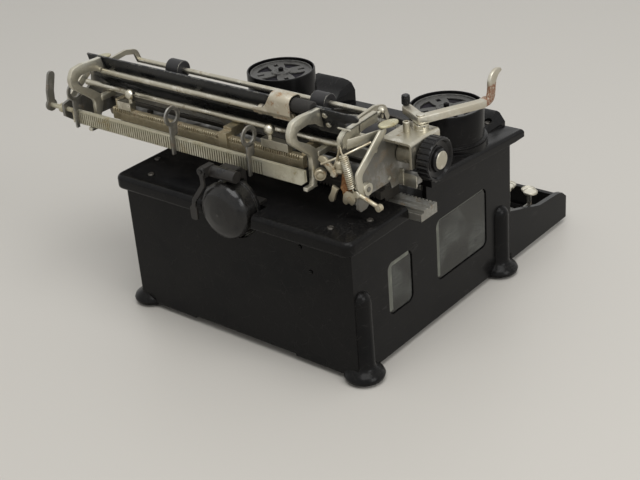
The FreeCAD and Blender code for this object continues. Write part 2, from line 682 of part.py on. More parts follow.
def space_bar():
    top = S.space_bar_top
    half = S.space_bar_length / 2
    width = S.space_bar_width / 2
    bar = plate("XY", top - 5, 5, [(-half, -S.space_bar_y - width), (half, -S.space_bar_y - width),
                                   (half, -S.space_bar_y + width), (-half, -S.space_bar_y + width)])
    soften(bar, along("z"), width * 0.9)
    soften(bar, lambda edge: abs(edge.BoundBox.ZMin - float(top)) < 0.01, 1.6)
    levers = [lever_profile(x, S.space_bar_y, top - 4) for x in (-S.key_pitch * 2.875, S.key_pitch * 2.875)]
    node("space_bar", fuse(bar, *levers))


def lever_supports():
    shaft = rod("X", (-INNER, -S.fulcrum_y, S.fulcrum_z), S.fulcrum_radius, INNER * 2)
    slots = []
    width = S.lever_thick + S.comb_slot_clearance * 2
    columns = {round(float(key_x(row, index)), 3): key_x(row, index)
               for row, count in enumerate(ROW_COUNTS) for index in range(count)}
    spots = list(columns.values()) + [x for _, x, _ in SIDE_KEYS]
    spots += [-S.shift_left_x, S.shift_right_x, -S.key_pitch * 2.875, S.key_pitch * 2.875]
    front = -S.comb_bar_y - 1
    for x in spots:
        slots.append(Part.makeBox(float(width), float(S.comb_bar_thick + 2), float(S.comb_bar_high),
                                  Vector(float(x - width / 2), float(front), float(S.comb_bar_low) + 2.6)))
    inner = HALF - S.keyboard_wall
    comb = box((-inner, inner), (-S.comb_bar_y, -S.comb_bar_y + S.comb_bar_thick),
               (S.comb_bar_low, S.comb_bar_high))
    node("key_lever_shaft", shaft)
    node("key_lever_comb", cut(comb, shaped(Part.makeCompound(slots))))


# ---------------------------------------------------------------- type basket

TILT = Rotation(Vector(1, 0, 0), -float(S.basket_tilt))
TILT_ANGLE = math.radians(float(S.basket_tilt))
BASKET_Y = -S.print_y - S.basket_reach * math.sin(TILT_ANGLE)
BASKET_Z = S.print_z - S.basket_reach * math.cos(TILT_ANGLE)
BAR_LENGTH = math.hypot(float(S.pivot_radius), float(S.basket_reach))
FAN = float(S.bar_pitch) * (float(S.bar_count) - 1) / 2


def in_basket(shape):
    """Stands a shape, made about the middle of the segment, in the tilted plane of the type basket."""
    item = DOC.addObject("Part::Feature", "Basket")
    item.Shape = Part.makeCompound(shape.Solids)
    return put(item, 0, BASKET_Y, BASKET_Z, TILT)


def sector(inner, outer, low, high, half_angle):
    """A ring segment about the basket's axis, centred on the operator's side."""
    ring = []
    for radius in (float(outer), float(inner)):
        slice_ = Part.makeCylinder(radius, float(high - low), Vector(0, 0, float(low)), Vector(0, 0, 1),
                                   2 * half_angle)
        slice_.rotate(Vector(), Vector(0, 0, 1), -90 - half_angle)
        ring.append(slice_)
    return ring[0].cut(ring[1])


def bar_angles():
    count = int(float(S.bar_count))
    return [float(S.bar_pitch) * (index - (count - 1) / 2) for index in range(count)]


SAMPLE_BAR = int(SIZES["bar_count"] / 2)


def typebar_shape():
    """One typebar at rest, its pivot on the local -Y axis, with the type block on its end."""
    pivot = float(S.pivot_radius)
    reach = BAR_LENGTH
    half = float(S.bar_thick) / 2
    low, high = float(S.bar_height) / 2, float(S.bar_head_height) / 2
    spots = [(-3.6, -low), (reach - 2, -high), (reach - 2, high), (8, low), (-3.6, low)]
    face = Part.Face(Part.makePolygon([Vector(-half, -pivot - u, v) for u, v in spots + spots[:1]]))
    bar = face.extrude(Vector(2 * half, 0, 0))
    bore = Part.makeCylinder(float(S.wire_radius + S.running_clearance), 4, Vector(-2, -pivot, 0),
                             Vector(1, 0, 0))
    depth, tall, wide = float(S.slug_depth), float(S.slug_length), float(S.slug_width)
    slug = Part.makeBox(wide, depth, tall, Vector(-wide / 2, -depth, -tall / 2))
    slug.rotate(Vector(), Vector(1, 0, 0), 90 - float(S.slug_turn))
    slug.translate(Vector(0, -pivot - reach + 1.6, 1.0))
    return bar.cut(bore).fuse(slug).removeSplitter()


def type_basket():
    thick = S.segment_thick / 2
    block = sector(S.segment_inner, S.segment_outer, -thick, thick, FAN + 5)
    slots = []
    angles = bar_angles()
    for index, angle in enumerate(angles):
        gap = S.sample_clearance if index == SAMPLE_BAR else S.bar_clearance
        width = float(S.bar_thick + gap * 2)
        slot = Part.makeBox(width, float(S.segment_outer - S.slot_inner) + 2, float(S.segment_thick) + 2,
                            Vector(-width / 2, -float(S.segment_outer) - 2, -float(thick) - 1))
        slot.rotate(Vector(), Vector(0, 0, 1), angle)
        slots.append(slot)
    wire = Part.makeTorus(float(S.pivot_radius), float(S.wire_radius), Vector(), Vector(0, 0, 1), -180, 180,
                          2 * FAN + 8)
    wire.rotate(Vector(), Vector(0, 0, 1), -90 - FAN - 4)
    block = block.cut(Part.makeCompound(slots)).fuse(wire)
    node("type_segment", in_basket(block))
    bars = []
    shape = typebar_shape()
    for index, angle in enumerate(angles):
        if index != SAMPLE_BAR:
            bars.append(shape.rotated(Vector(), Vector(0, 0, 1), angle))
    node("typebars", in_basket(Part.makeCompound(bars)))
    node("sample_typebar", in_basket(shape.rotated(Vector(), Vector(0, 0, 1), angles[SAMPLE_BAR])))
    top = -thick
    under = top - S.carrier_drop
    post = Part.makeBox(28, float(S.segment_outer - S.segment_inner) - 4, float(S.carrier_drop),
                        Vector(-14, -float(S.segment_outer) + 2, float(under)))
    bar = Part.makeBox(float(INNER) * 2, 14, float(S.carrier_height),
                       Vector(-float(INNER), -float(S.segment_outer) + 2, float(under - S.carrier_height)))
    node("segment_carrier", in_basket(post.fuse(bar).removeSplitter()))


def type_guard():
    """The black crescent in front of the type heads, with the pad that the bars rest on."""
    floor_top = S.guard_floor + S.guard_floor_thick
    angle = float(S.guard_half_angle)
    wall = sector(S.guard_outer - S.guard_wall, S.guard_outer, S.guard_floor, S.guard_top, angle)
    floor = sector(S.guard_inner, S.guard_outer, S.guard_floor, floor_top, angle)
    guard = wall.fuse(floor)
    x, y, base = float(S.guard_leg_x), -float(S.guard_leg_y), float(S.guard_floor)
    up = Vector(0, -math.sin(TILT_ANGLE), math.cos(TILT_ANGLE))
    for side in (-1, 1):
        start = Vector(side * x, y, base)
        spot = TILT.multVec(start)
        ceiling = float(raised_top(-(BASKET_Y + spot.y)) - S.raised_deck_thick) - 0.3
        rise = ceiling - float(BASKET_Z) - spot.z
        ear = Part.makeBox(x - 40, 8, float(S.guard_floor_thick), Vector(40 if side > 0 else -x, y - 4, base))
        guard = guard.fuse([ear, Part.makeCylinder(float(S.guard_leg_radius), rise, start, up)])
    pad_ring = sector(S.guard_inner, S.guard_inner + S.rest_pad_width, floor_top,
                      floor_top + S.rest_pad_height, angle)
    node("type_guard", in_basket(Part.makeCompound([guard.removeSplitter(), pad_ring])))


def type_guide():
    half = float(S.guide_width) / 2
    slot = float(S.guide_slot) / 2
    y, thick = float(S.guide_y), float(S.guide_thick)
    top, throat, low = float(S.guide_top), float(S.guide_top) - 13, float(S.guide_top) - 30
    fork = extruded("XZ", -y, thick, [
        (-half, low + 8), (-half * 0.5, low), (half * 0.5, low), (half, low + 8), (half, top),
        (slot + 3, top),
        (slot, throat + 6), (slot, throat), (-slot, throat), (-slot, throat + 6), (-slot - 3, top),
        (-half, top)])
    rail_face = float(S.rail_front) + thick / 2
    strap = bent_bar([(0, -rail_face, S.rail_seat + 0.5), (0, -rail_face, S.rail_seat + 13),
                      (0, -y + thick / 2, low - 1), (0, -y + thick / 2, low + 8)], 5, S.guide_strap, thick,
                     (1, 0, 0))
    node("type_guide", shaped(fork.fuse(strap).removeSplitter()))


# ---------------------------------------------------------------- ribbon

def ribbon_cups():
    for name, side in (("left", -1), ("right", 1)):
        radius, wall = S.cup_radius, S.cup_wall
        rise = S.cup_top - S.cup_bottom
        shoulder = S.boss_top - S.cup_bottom
        seat = S.spool_top - S.spool_height - S.cup_bottom - S.spool_gap
        cup = turned([(0, 0), (radius, 0), (radius, shoulder), (radius + 2.2, shoulder),
                      (radius + 2.2, shoulder + 1.6), (radius, shoulder + 2.4), (radius, rise - 1.2),
                      (radius - 0.5, rise), (radius - wall, rise), (radius - wall, 2), (S.spool_hub - 2, 2),
                      (S.spool_hub - 2, seat), (S.spindle_radius, seat), (S.spindle_radius, rise + 1),
                      (0, rise + 2)], (side * S.cup_x, -S.cup_y, S.cup_bottom))
        node(f"spool_cup_{name}", cup)
        node(f"ribbon_spool_{name}", ribbon_spool((side * S.cup_x, -S.cup_y, S.spool_top - S.spool_height)))


def ribbon_spool(spot):
    outer, flange = S.spool_radius, S.spool_flange
    bore = S.spindle_radius + S.running_clearance
    high = S.spool_height
    spool = turned([(bore, 0), (outer, 0), (outer, flange), (S.ribbon_radius, flange),
                    (S.ribbon_radius, high - flange), (outer, high - flange), (outer, high), (bore, high)],
                   spot)
    middle = (outer + S.spool_hub) / 2 + 1
    hole = pocket(spool, "XY", high, flange, circle=((middle, middle * 0), (outer - S.spool_hub) / 2 - 3.2))
    round_pattern(spool, hole, 6)
    return spool


# ---------------------------------------------------------------- mainspring drum

def drum_parts():
    x, z, radius = S.drum_x, S.drum_z, S.drum_radius
    front, rear, dome = S.drum_front, S.drum_rear, S.drum_dome
    bore = S.arbor_radius + S.running_clearance
    deep = front + rear
    drum = turned([(bore, 0), (radius, 0), (radius, 3), (radius - 1.4, 3.6), (radius - 1.4, deep - 3.6),
                   (radius, deep - 3), (radius, deep), (radius * 0.93, deep + dome * 0.36),
                   (radius * 0.72, deep + dome * 0.72), (radius * 0.36, deep + dome * 0.94),
                   (0, deep + dome), (0, deep + dome - 4), (bore, deep + dome - 4)],
                  (x, -front, z), "Y")
    node("spring_drum", drum)
    notch_face = -S.drum_rear - S.drum_notch_gap
    tube_x = x + 1 - S.tube_length / 2
    half = 9
    thick = 3
    arm = extruded("YZ", x - half, 2 * half, [
        (notch_face, S.deck_top - S.deck_plate - 8), (notch_face + thick, S.deck_top - S.deck_plate - 8),
        (notch_face + thick, S.tube_z - 7), (S.tube_y - 3, S.tube_z - 3), (S.tube_y - 3, S.tube_z + 4),
        (notch_face + 5, S.tube_z + 4), (notch_face, S.tube_z - 1)])
    arbor = rod("Y", (x, notch_face + thick - 0.5, z), S.arbor_radius, deep + dome - 3.5)
    foot = box((x - 22, x + 22), (notch_face - 8, notch_face + thick), (S.deck_top, S.deck_top + 2.4))
    tube = rod("X", (tube_x, S.tube_y, S.tube_z), S.tube_radius, S.tube_length)
    ear = box((x + 13, x + 19), (S.tube_y - 2, S.paddle_y - 1.3), (S.tube_z - 2.4, S.tube_z + 6.4))
    pin = rod("Y", (S.paddle_x, S.tube_y, S.paddle_z), 1.5, S.paddle_y - S.tube_y + 2.6)
    node("drum_bracket", fuse(shaped(arm), arbor, foot, tube, ear, pin))
    px, py, pz = S.paddle_x, S.paddle_y, S.paddle_z
    strap = bent_bar([(px, py, pz), (px - 1, py, pz - 12), (px + 12, py, pz - 29), (px + 13.8, py, pz - 38)],
                     6, 2, 4, (0, 1, 0))
    hub = Part.makeCylinder(4, 2, Vector(float(px), float(py) - 1, float(pz)), Vector(0, 1, 0))
    blade = extruded("XZ", py - 1, 2, [(px + 10, pz - 34.8), (px + 17.6, pz - 34.8), (px + 17.6, pz - 47.8),
                                       (px + 10, pz - 47.8)], {2.5: (0, 1, 2, 3)})
    bore = Part.makeCylinder(1.55, 6, Vector(float(px), float(py) - 3, float(pz)), Vector(0, 1, 0))
    node("drum_lever", shaped(strap.fuse([hub, blade]).cut(bore)))


# ---------------------------------------------------------------- rail, truck and escapement

def rail_and_truck():
    half = S.rail_length / 2
    top, low = S.rail_top, S.rail_seat
    middle = -(S.rail_rear + S.rail_front) / 2
    rail = plate("YZ", -half, S.rail_length, [
        (-S.rail_rear, low), (-S.rail_front, low), (-S.rail_front, top), (middle - 2, top),
        (middle, top - 2), (middle + 2, top), (-S.rail_rear - 4, top), (-S.rail_rear - 4, top - 2.5),
        (-S.rail_rear, top - 2.5)])
    pitch = float(S.rail_tooth)
    count = int(float(S.rail_length) / pitch) - 1
    notches = []
    for index in range(count):
        x = (index - (count - 1) / 2) * pitch
        notches.append(Part.makeBox(pitch / 2, float(S.rail_tooth_depth) + 1, 5, Vector(
            x - pitch / 4, -float(S.rail_front) - 1, float(top) - 3.2)))
    node("carriage_rail", cut(rail, shaped(Part.makeCompound(notches))))
    left, right = S.plate_left + 9, S.plate_right - 9
    gap = S.truck_clearance
    truck = box((left, right), (-S.rail_front + 2, -S.rail_rear - 1), (top + gap, S.truck_top))
    runner = box((left, right), (middle - 0.9, middle + 0.9), (top - 1, top + 2))
    posts = [rod("Z", (x, middle, top + 2), S.post_radius, S.post_top - top - 2)
             for x in (left + 30, right - 30)]
    rack = box((left, right), (-S.rail_rear - 1, -S.rail_rear - 1 + S.rack_thick),
               (S.rack_low, S.rack_low + 7))
    teeth = []
    step = float(S.rack_tooth)
    count = int(float(right - left) / step)
    for index in range(-count, count):
        x = index * step
        if float(left) + 2 < x < float(right) - 2:
            teeth.append(Part.makeBox(step * 0.58, float(S.rack_thick) + 2, 3.2, Vector(
                x - step * 0.29, -float(S.rail_rear) - 2, float(S.rack_low) - 1)))
    node("carriage_truck", cut(fuse(truck, runner, rack, *posts), shaped(Part.makeCompound(teeth))))


def escapement():
    """The pinion that meshes with the rack under the truck, its escape wheel and its bearing."""
    count = S.pinion_teeth
    radius = S.rack_tooth * count / (2 * math.pi)
    y = -S.rail_rear - 1 + S.rack_thick
    z = S.rack_low + S.rack_mesh - radius
    turn = 360 / float(count)
    teeth = []
    reach = float(radius) + 0.9
    root = float(radius) - 1.6
    for index in range(int(float(count))):
        tooth = Part.Face(Part.makePolygon([Vector(-1.0, 0, root), Vector(-0.45, 0, reach),
                                            Vector(0.45, 0, reach), Vector(1.0, 0, root),
                                            Vector(-1.0, 0, root)]))
        solid = tooth.extrude(Vector(0, -float(S.pinion_thick), 0))
        solid.rotate(Vector(), Vector(0, 1, 0), turn * index)
        teeth.append(solid)
    wheel = Part.makeCylinder(root + 0.2, float(S.pinion_thick), Vector(), Vector(0, -1, 0))
    wheel = wheel.fuse(teeth)
    disc = Part.makeCylinder(float(radius) + 0.4, 2, Vector(0, 4, 0), Vector(0, 1, 0))
    saw = []
    for index in range(24):
        notch = Part.makeBox(1.6, 4, 2.4, Vector(0, 3, float(radius) - 1.2))
        notch.rotate(Vector(), Vector(0, 1, 0), 15 * index)
        saw.append(notch)
    disc = disc.cut(Part.makeCompound(saw))
    collar = Part.makeCylinder(4, 4.2, Vector(0, -0.1, 0), Vector(0, 1, 0))
    bore = Part.makeCylinder(float(S.arbor_radius + S.running_clearance), 14, Vector(0, -4, 0),
                             Vector(0, 1, 0))
    item = DOC.addObject("Part::Feature", "Escapement")
    item.Shape = wheel.fuse([disc, collar]).cut(bore)
    put(item, 0, y - 0.3, z)
    node("escape_wheel", item)
    far = y + 7.5
    under = S.deck_top - S.deck_plate
    node("escape_bracket", fuse(
        rod("Y", (0, y - S.pinion_thick, z), S.arbor_radius, far - y + S.pinion_thick + 1),
        box((-7, 7), (far, far + 3), (z - 6, under)),
        box((-16, 16), (far, far + 12), (under - 2.5, under))))


key_rows()
side_keys()
space_bar()
lever_supports()
type_basket()
type_guard()
type_guide()
ribbon_cups()
drum_parts()
rail_and_truck()
escapement()


# ---------------------------------------------------------------- carriage

AXIS = (-S.platen_y, S.platen_z)
LEFT_FACE = S.plate_left + S.plate_thick
RIGHT_FACE = S.plate_right
SPAN = RIGHT_FACE - LEFT_FACE


def carriage_frame():
    """End plates, bed, rear bar and the shelf outside the left plate, cast and riveted as one frame."""
    low, bed_top = S.bed_low, S.bed_low + S.bed_thick
    housing_under = S.housing_top - S.housing_plate
    shoulder = -S.housing_front + S.housing_plate
    ear = [(-27, 158), (-27, 150), (-29, 147.5), (-37, 147.5), (-40, 150), (-41, 158)]
    front = [(-70, 158), (-72, low), (-98, low), (-98, 160), (shoulder, 176), (shoulder, 190)]
    top = [(-66, housing_under), (-64, S.bail_pivot_z + 4.2), (-57, S.bail_pivot_z + 4.2),
           (-54, S.bail_pivot_z), (-53, 192), (-44, 186), (-30, 174)]
    left = plate("YZ", S.plate_left, S.plate_thick, ear + front + [(shoulder, housing_under)] + top)
    right = plate("YZ", S.plate_right, S.plate_thick, [
        (-41, 158)] + front + [(shoulder + 6, housing_under)] + top[:-1] + [
            (-34, 182), (-22, 184), (-13.5, 182), (-13.5, 170), (-24, 162)])
    bed = box((LEFT_FACE, RIGHT_FACE), (-98, -S.rail_rear), (low, bed_top))
    bar = box((LEFT_FACE, RIGHT_FACE), (-S.rear_rail_y - 1, -S.rear_rail_y + 2), (S.rear_rail_low,
                                                                                 S.rear_rail_high))
    shelf = plate("XY", low, 8.5, [(S.plate_left - 16, -93), (S.plate_left, -93), (S.plate_left, -86),
                                   (S.plate_left - 16, -86)])
    soften(shelf, along("y", x=(S.plate_left - 16,)), 2)
    middle = -(S.rail_rear + S.rail_front) / 2
    posts = [rod("Z", (x, middle, low - 1), S.post_radius + S.running_clearance, 20)
             for x in (S.plate_left + 39, S.plate_right - 39)]
    bores = [rod("X", (start - 1, *AXIS), S.shaft_radius + S.running_clearance, S.plate_thick + 2)
             for start in (S.plate_left, S.plate_right)]
    bores.append(rod("X", (S.plate_right - 1, -S.comb_y, S.comb_rod_z), S.comb_rod_radius, 6))
    pins = [rod("X", (S.plate_left - 4.6, -S.release_y, S.release_z), S.pin_radius, 4.6 + 1),
            rod("X", (S.plate_right + S.plate_thick - 1, -S.release_y, S.release_z), S.pin_radius, 5.6),
            rod("X", (LEFT_FACE - 1, -33, 152), S.pin_radius, S.linkage_x - LEFT_FACE + 1)]
    node("carriage_frame", cut(fuse(left, right, bed, bar, shelf, *pins), *posts, *bores))


def sheet(points, thick):
    """The outline of a bent sheet: its rear face through the points, its front face a thickness off."""
    flat = [Vector(float(y), float(z), 0) for y, z in points]
    normals = []
    for start, end in zip(flat, flat[1:]):
        run = (end - start).normalize()
        normals.append(Vector(run.y, -run.x, 0))
    front = [flat[0] + normals[0] * float(thick)]
    for before, after, spot in zip(normals, normals[1:], flat[1:]):
        middle = (before + after).normalize()
        front.append(spot + middle * (float(thick) / middle.dot(before)))
    front.append(flat[-1] + normals[-1] * float(thick))
    return [(spot.x, spot.y) for spot in flat + front[::-1]]


def paper_table():
    outline = sheet([(-S.table_top_y, S.table_top_z), (-S.table_knee_y, S.table_knee_z),
                     (-S.table_foot_y, S.table_foot_z)], S.table_thick)
    table = extruded("YZ", S.table_left, S.table_right - S.table_left, outline, {14: (1,), 12.4: (4,)})
    left, over = S.table_wing_left, S.table_wing_low
    flat = extruded("YZ", left, S.table_left - left + 1, sheet(
        [(-S.table_top_y, S.table_top_z), (table_rear_y(over), over)], S.table_thick))
    mask = extruded("XZ", 0, 80, [
        (S.table_left + 2, S.table_top_z + 1), (left, S.table_top_z + 1), (left, S.channel_low + 8),
        (S.linkage_x + 5, S.channel_low + 8), (S.linkage_x + 5, over - 1), (S.table_left + 2, over - 1)],
        {6: (1,)})
    node("paper_table", shaped(table.fuse(flat.common(mask)).removeSplitter()))


def table_rear_y(z):
    """Depth of the paper table's rear face at a height on its upper, straight part."""
    slope = (S.table_knee_y - S.table_top_y) / (S.table_top_z - S.table_knee_z)
    return -S.table_top_y - slope * (S.table_top_z - z)


def paper_table_arms():
    slope = (S.table_knee_y - S.table_top_y) / (S.table_top_z - S.table_knee_z)
    back = S.arm_depth / 2 + 0.02
    arms = []
    for x in (S.arm_left, S.arm_right):
        path = [(x, table_rear_y(206) + back * 0.97, 206 - back * slope), (x, table_rear_y(223) + back * 0.97,
                223 - back * slope), (x, -14, 224), (x, 2, 214), (x, -8, 202.5), (x, -28, 193), (x, -34, 185),
                (x, -26.5, 171), (x, -22.8, S.comb_low - S.arm_depth / 2 - 0.6)]
        arm = bent_bar(path, 7, S.arm_width, S.arm_depth, (1, 0, 0))
        half = float(S.arm_width) / 2
        lug = Part.makeBox(
            2 * half, float(S.rear_rail_y) - 2 - 34.5, float(S.lower_rod_z) - 2.8 - 185.5, Vector(
            float(x) - half, -float(S.rear_rail_y) + 2, 185.5))
        seat = Part.makeBox(2 * half, 7.3, 3.4, Vector(
            float(x) - half, -float(S.comb_y) - 4.8, float(S.comb_low) - 3.4))
        arms.append(arm.fuse([lug, seat]).removeSplitter())
    node("paper_table_arms", shaped(Part.makeCompound(arms)))


def carriage_rods():
    y, z, radius = -S.upper_rod_y, S.upper_rod_z, S.upper_rod_radius
    left, right = S.upper_rod_left, S.arm_right - S.arm_width / 2
    upper = [rod("X", (left, y, z), radius, right - left)]
    for x in (left + 4, (left + right) / 2, right - 8):
        upper.append(box((x - 2.5, x + 2.5), (table_rear_y(z) + 0.2, y), (z - 2, z + 2)))
    lower = rod("X", (S.lower_rod_left, -S.lower_rod_y, S.lower_rod_z), S.lower_rod_radius,
                RIGHT_FACE - S.lower_rod_left)
    bail = rod("X", (LEFT_FACE, -S.bail_pivot_y, S.bail_pivot_z), S.bail_shaft_radius, SPAN)
    node("carriage_rods", group(fuse(*upper), lower, bail))


def tab_rack():
    """The slotted tabulator plate across the back of the carriage, with its end rod and collar."""
    body = plate("XZ", -S.comb_y + S.comb_thick / 2, S.comb_thick, [
        (S.comb_left, S.comb_low + 2.5), (S.comb_left + 13, S.comb_low), (S.comb_right, S.comb_low),
        (S.comb_right, S.comb_high), (S.comb_teeth_left - 6, S.comb_high), (S.comb_left, S.comb_low + 6)])
    pitch = float(S.comb_pitch)
    slots = []
    x = float(S.comb_teeth_left)
    while x < float(S.comb_right) - 3:
        slots.append(Part.makeBox(float(S.comb_slot), float(S.comb_thick) + 2, float(S.comb_slot_depth) + 1,
                                  Vector(x, -float(S.comb_y) - float(S.comb_thick) / 2 - 1,
                                         float(S.comb_high) - float(S.comb_slot_depth))))
        x += pitch
    y, z = -S.comb_y, S.comb_rod_z
    end = rod("X", (S.comb_right - 1, y, z), S.comb_rod_radius, S.comb_rod_right - S.comb_right + 1)
    collar = rod("X", (S.plate_right + S.plate_thick, y, z), S.comb_rod_radius + 2.4, 6)
    cap = rod("X", (S.tab_lever_x + S.tab_lever_thick + 0.3, y, z), S.comb_rod_radius + 2, 2)
    node("tab_rack", fuse(cut(body, shaped(Part.makeCompound(slots))), end, collar, cap))


def tab_stops():
    first = float(S.comb_teeth_left) + float(S.comb_slot) / 2
    thick = S.comb_slot - 0.1
    y, z = -S.stop_ring_y, S.stop_ring_z
    face = -S.comb_y
    low = S.comb_high - S.comb_slot_depth + 0.3
    stops = []
    for tooth in (4, 36, 81):
        x = first + float(S.comb_pitch) * tooth
        start = x - float(thick) / 2
        ring = Part.makeCylinder(float(S.stop_ring_radius), float(thick), Vector(start, float(y), float(z)),
                                 Vector(1, 0, 0))
        hole = Part.makeCylinder(
            float(S.stop_ring_hole), float(thick) + 2, Vector(start - 1, float(y), float(z)),
                                 Vector(1, 0, 0))
        stem = extruded("YZ", start, thick, [
            (face - 3.6, z - S.stop_ring_radius + 2.5), (face - 3.6, low), (face + 1.8, low),
            (face + 1.8, S.comb_low - 7), (face + 4.6, S.comb_low - 7),
            (face + 4.6, z - S.stop_ring_radius + 1.5)])
        stops.append(ring.fuse(stem).cut(hole))
    node("tab_stops", shaped(Part.makeCompound(stops)))


def margin_rack():
    left, right = S.margin_rack_left, S.margin_rack_right
    front, rear = -S.margin_rack_y - 3, -S.margin_rack_y + 2.5
    low, high = S.margin_rack_low, S.margin_rack_high
    bar = plate("YZ", left, right - left, [(front, low), (rear, low), (rear, high - 1), (rear - 1, high),
                                           (front, high)])
    notches = []
    x = float(left) + 4
    while x < float(right) - 4:
        notches.append(Part.makeBox(float(S.margin_tooth) / 2, 3, 4.5, Vector(
            x, float(rear) - 1.6, float(high) - 4)))
        x += float(S.margin_tooth)
    rail = -S.rear_rail_y + 2
    brackets = [box((x, x + wide), (rail, front + 0.5), (high - 2, S.lower_rod_z - S.lower_rod_radius - 0.2))
                for x, wide in ((left, 5), (21, 9), (right - 5, 5))]
    clamp = box((21, 30), (front - 3, rear + 2.2), (low - 2, high + 4))
    node("margin_rack", fuse(cut(bar, shaped(Part.makeCompound(notches))), clamp, *brackets))


def margin_stops():
    y = -S.margin_rack_y
    high = S.margin_rack_high + 0.3
    for label, left, right, knob in (("margin_stop_left", -47, -17.5, -24.9),
                                     ("margin_stop_right", 140, 157, 142.3)):
        knob_y = y - 1
        block = box((left, right), (y - 4, y + 3), (high, high + 7.4))
        neck = rod("Z", (knob, knob_y, high + 7), 2, 6)
        node(label, fuse(block, neck, ball((knob, knob_y, S.margin_ball_z), S.margin_ball)))


def lever_housing():
    left, right = S.housing_left, S.housing_right
    rear, front = -S.housing_rear, -S.housing_front
    top, low, thick = S.housing_top, S.housing_low, S.housing_plate
    outer = plate("XZ", rear, S.housing_front - S.housing_rear, [
        (left, low), (left + thick, low), (left + thick, top - thick), (right, top - thick), (right, top),
        (left, top)])
    soften(outer, along("y", x=(left,), z=(top,)), 3)
    face = box((left + thick - 0.5, S.plate_left), (front, front + thick), (low, top - thick + 0.2))
    bore = rod("X", (left - 1, *AXIS), S.shaft_radius + 0.6, thick + 3)
    collar = rod("Z", (S.return_x, -S.return_y, top), S.return_post + 3, S.return_arm_low - top)
    pin = rod("Z", (S.return_x, -S.return_y, top), S.return_post,
              S.return_arm_low - top + S.return_arm_thick + 1)
    node("lever_housing", cut(fuse(outer, face, collar, pin), bore))


def return_lever():
    x, y = float(S.return_x), -float(S.return_y)
    low = float(S.return_arm_low) + 0.2
    thick = float(S.return_arm_thick) - 0.4
    z = low + thick / 2
    inner, outer = (-106.5, -113), (-157.5, -152)
    bars = bent_bar([(*inner, z), (x, y, z), (*outer, z)], 8, thick, 9, (0, 0, 1))
    rounds = [Part.makeCylinder(radius, thick, Vector(*spot, low)) for spot, radius in
              ((inner, 4.5), ((x, y), 8.5), (outer, 4.5))]
    stack = Part.makeCylinder(3.8, 8, Vector(*inner, low + thick))
    tip_y, tip_z = -float(S.handle_tip_y), float(S.handle_tip_z)
    handle = bent_bar([(outer[0], outer[1] + 2, z), (outer[0], outer[1] - 12, z + 1),
                       (outer[0], outer[1] - 15, z + 16), (outer[0], tip_y, tip_z)], 7, 3, 9, (1, 0, 0))
    end = Part.makeCylinder(4.5, 3, Vector(outer[0] - 1.5, tip_y, tip_z), Vector(1, 0, 0))
    bore = Part.makeCylinder(float(S.return_post + S.running_clearance), thick + 20, Vector(x, y, low - 10))
    node("return_lever", shaped(bars.fuse(rounds + [stack, handle, end]).cut(bore)))


def knob(inner, side):
    """A fluted platen knob with a glossy cone and a small end disc, its axis along x."""
    width = S.knob_width
    radius, hub = S.knob_radius, S.knob_radius * 0.5
    body = turned([(S.shaft_radius, 0), (radius - 1, 0), (radius, 1), (radius, width - 1),
                   (radius - 1.2, width), (radius - 2.6, width - 0.4), (radius - 4, width - 2.4),
                   (hub + 1.6, width - 3.6), (hub + 0.6, width - 3), (hub, width - 0.6), (hub - 0.8, width),
                   (hub - 1.4, width + 0.9), (0, width + 0.9), (0, width - 2), (S.shaft_radius, width - 2)],
                  (inner, *AXIS), "X" if side > 0 else "-X")
    flute = body.newObject("Sketcher::SketchObject", "Flute")
    flat = next(part for part in body.Origin.OriginFeatures if part.Role == "XY_Plane")
    flute.AttachmentSupport = [(flat, "")]
    flute.MapMode = "FlatFace"
    draw_circle(flute, (S.knob_radius + 0.7, S.knob_radius * 0), S.knob_flute)
    groove = body.newObject("PartDesign::Pocket", "Groove")
    groove.Profile = flute
    groove.Reversed = True
    length(groove, "Length", width)
    round_pattern(body, groove, 24)
    return body


def platen_parts():
    left = LEFT_FACE + S.platen_end_gap
    right = RIGHT_FACE - S.platen_end_gap
    tube = cut(rod("X", (left, *AXIS), S.platen_radius, right - left),
               rod("X", (left - 1, *AXIS), S.shaft_radius, right - left + 2))
    node("platen", tube)
    start = S.knob_left_inner - S.knob_width + 2.2
    end = S.knob_right_inner + S.knob_width - 2.2
    shaft = rod("X", (start, *AXIS), S.shaft_radius, end - start)
    wheel = rod("X", (LEFT_FACE + 0.4, *AXIS), S.platen_radius - 2.4, S.platen_end_gap - 0.4)
    cuts = []
    for index in range(32):
        notch = Part.makeBox(6, 2.2, 1.5, Vector(float(LEFT_FACE) - 1, 0, float(S.platen_radius) - 3.4))
        notch.rotate(Vector(), Vector(1, 0, 0), index * 360 / 32)
        notch.translate(Vector(0, *[float(part) for part in AXIS]))
        cuts.append(notch)
    node("platen_shaft", fuse(shaft, cut(wheel, shaped(Part.makeCompound(cuts)))))
    node("knob_left", knob(S.knob_left_inner, -1))
    node("knob_right", knob(S.knob_right_inner, 1))
    y, z = AXIS
    inner, outer = S.platen_radius + S.pan_gap, S.platen_radius + S.pan_gap + S.pan_thick
    pan = []
    for radius in (outer, inner):
        wedge = Part.makeCylinder(float(radius), float(SPAN), Vector(float(LEFT_FACE), float(y), float(z)),
                                  Vector(1, 0, 0), 130)
        pan.append(wedge)
    shell = pan[0].cut(pan[1]).Solids[0]
    middle = shell.CenterOfMass
    turn = math.degrees(math.atan2(middle.z - float(z), middle.y - float(y)))
    shell.rotate(Vector(0, float(y), float(z)), Vector(1, 0, 0), -90 - turn)
    node("paper_pan", shaped(shell))


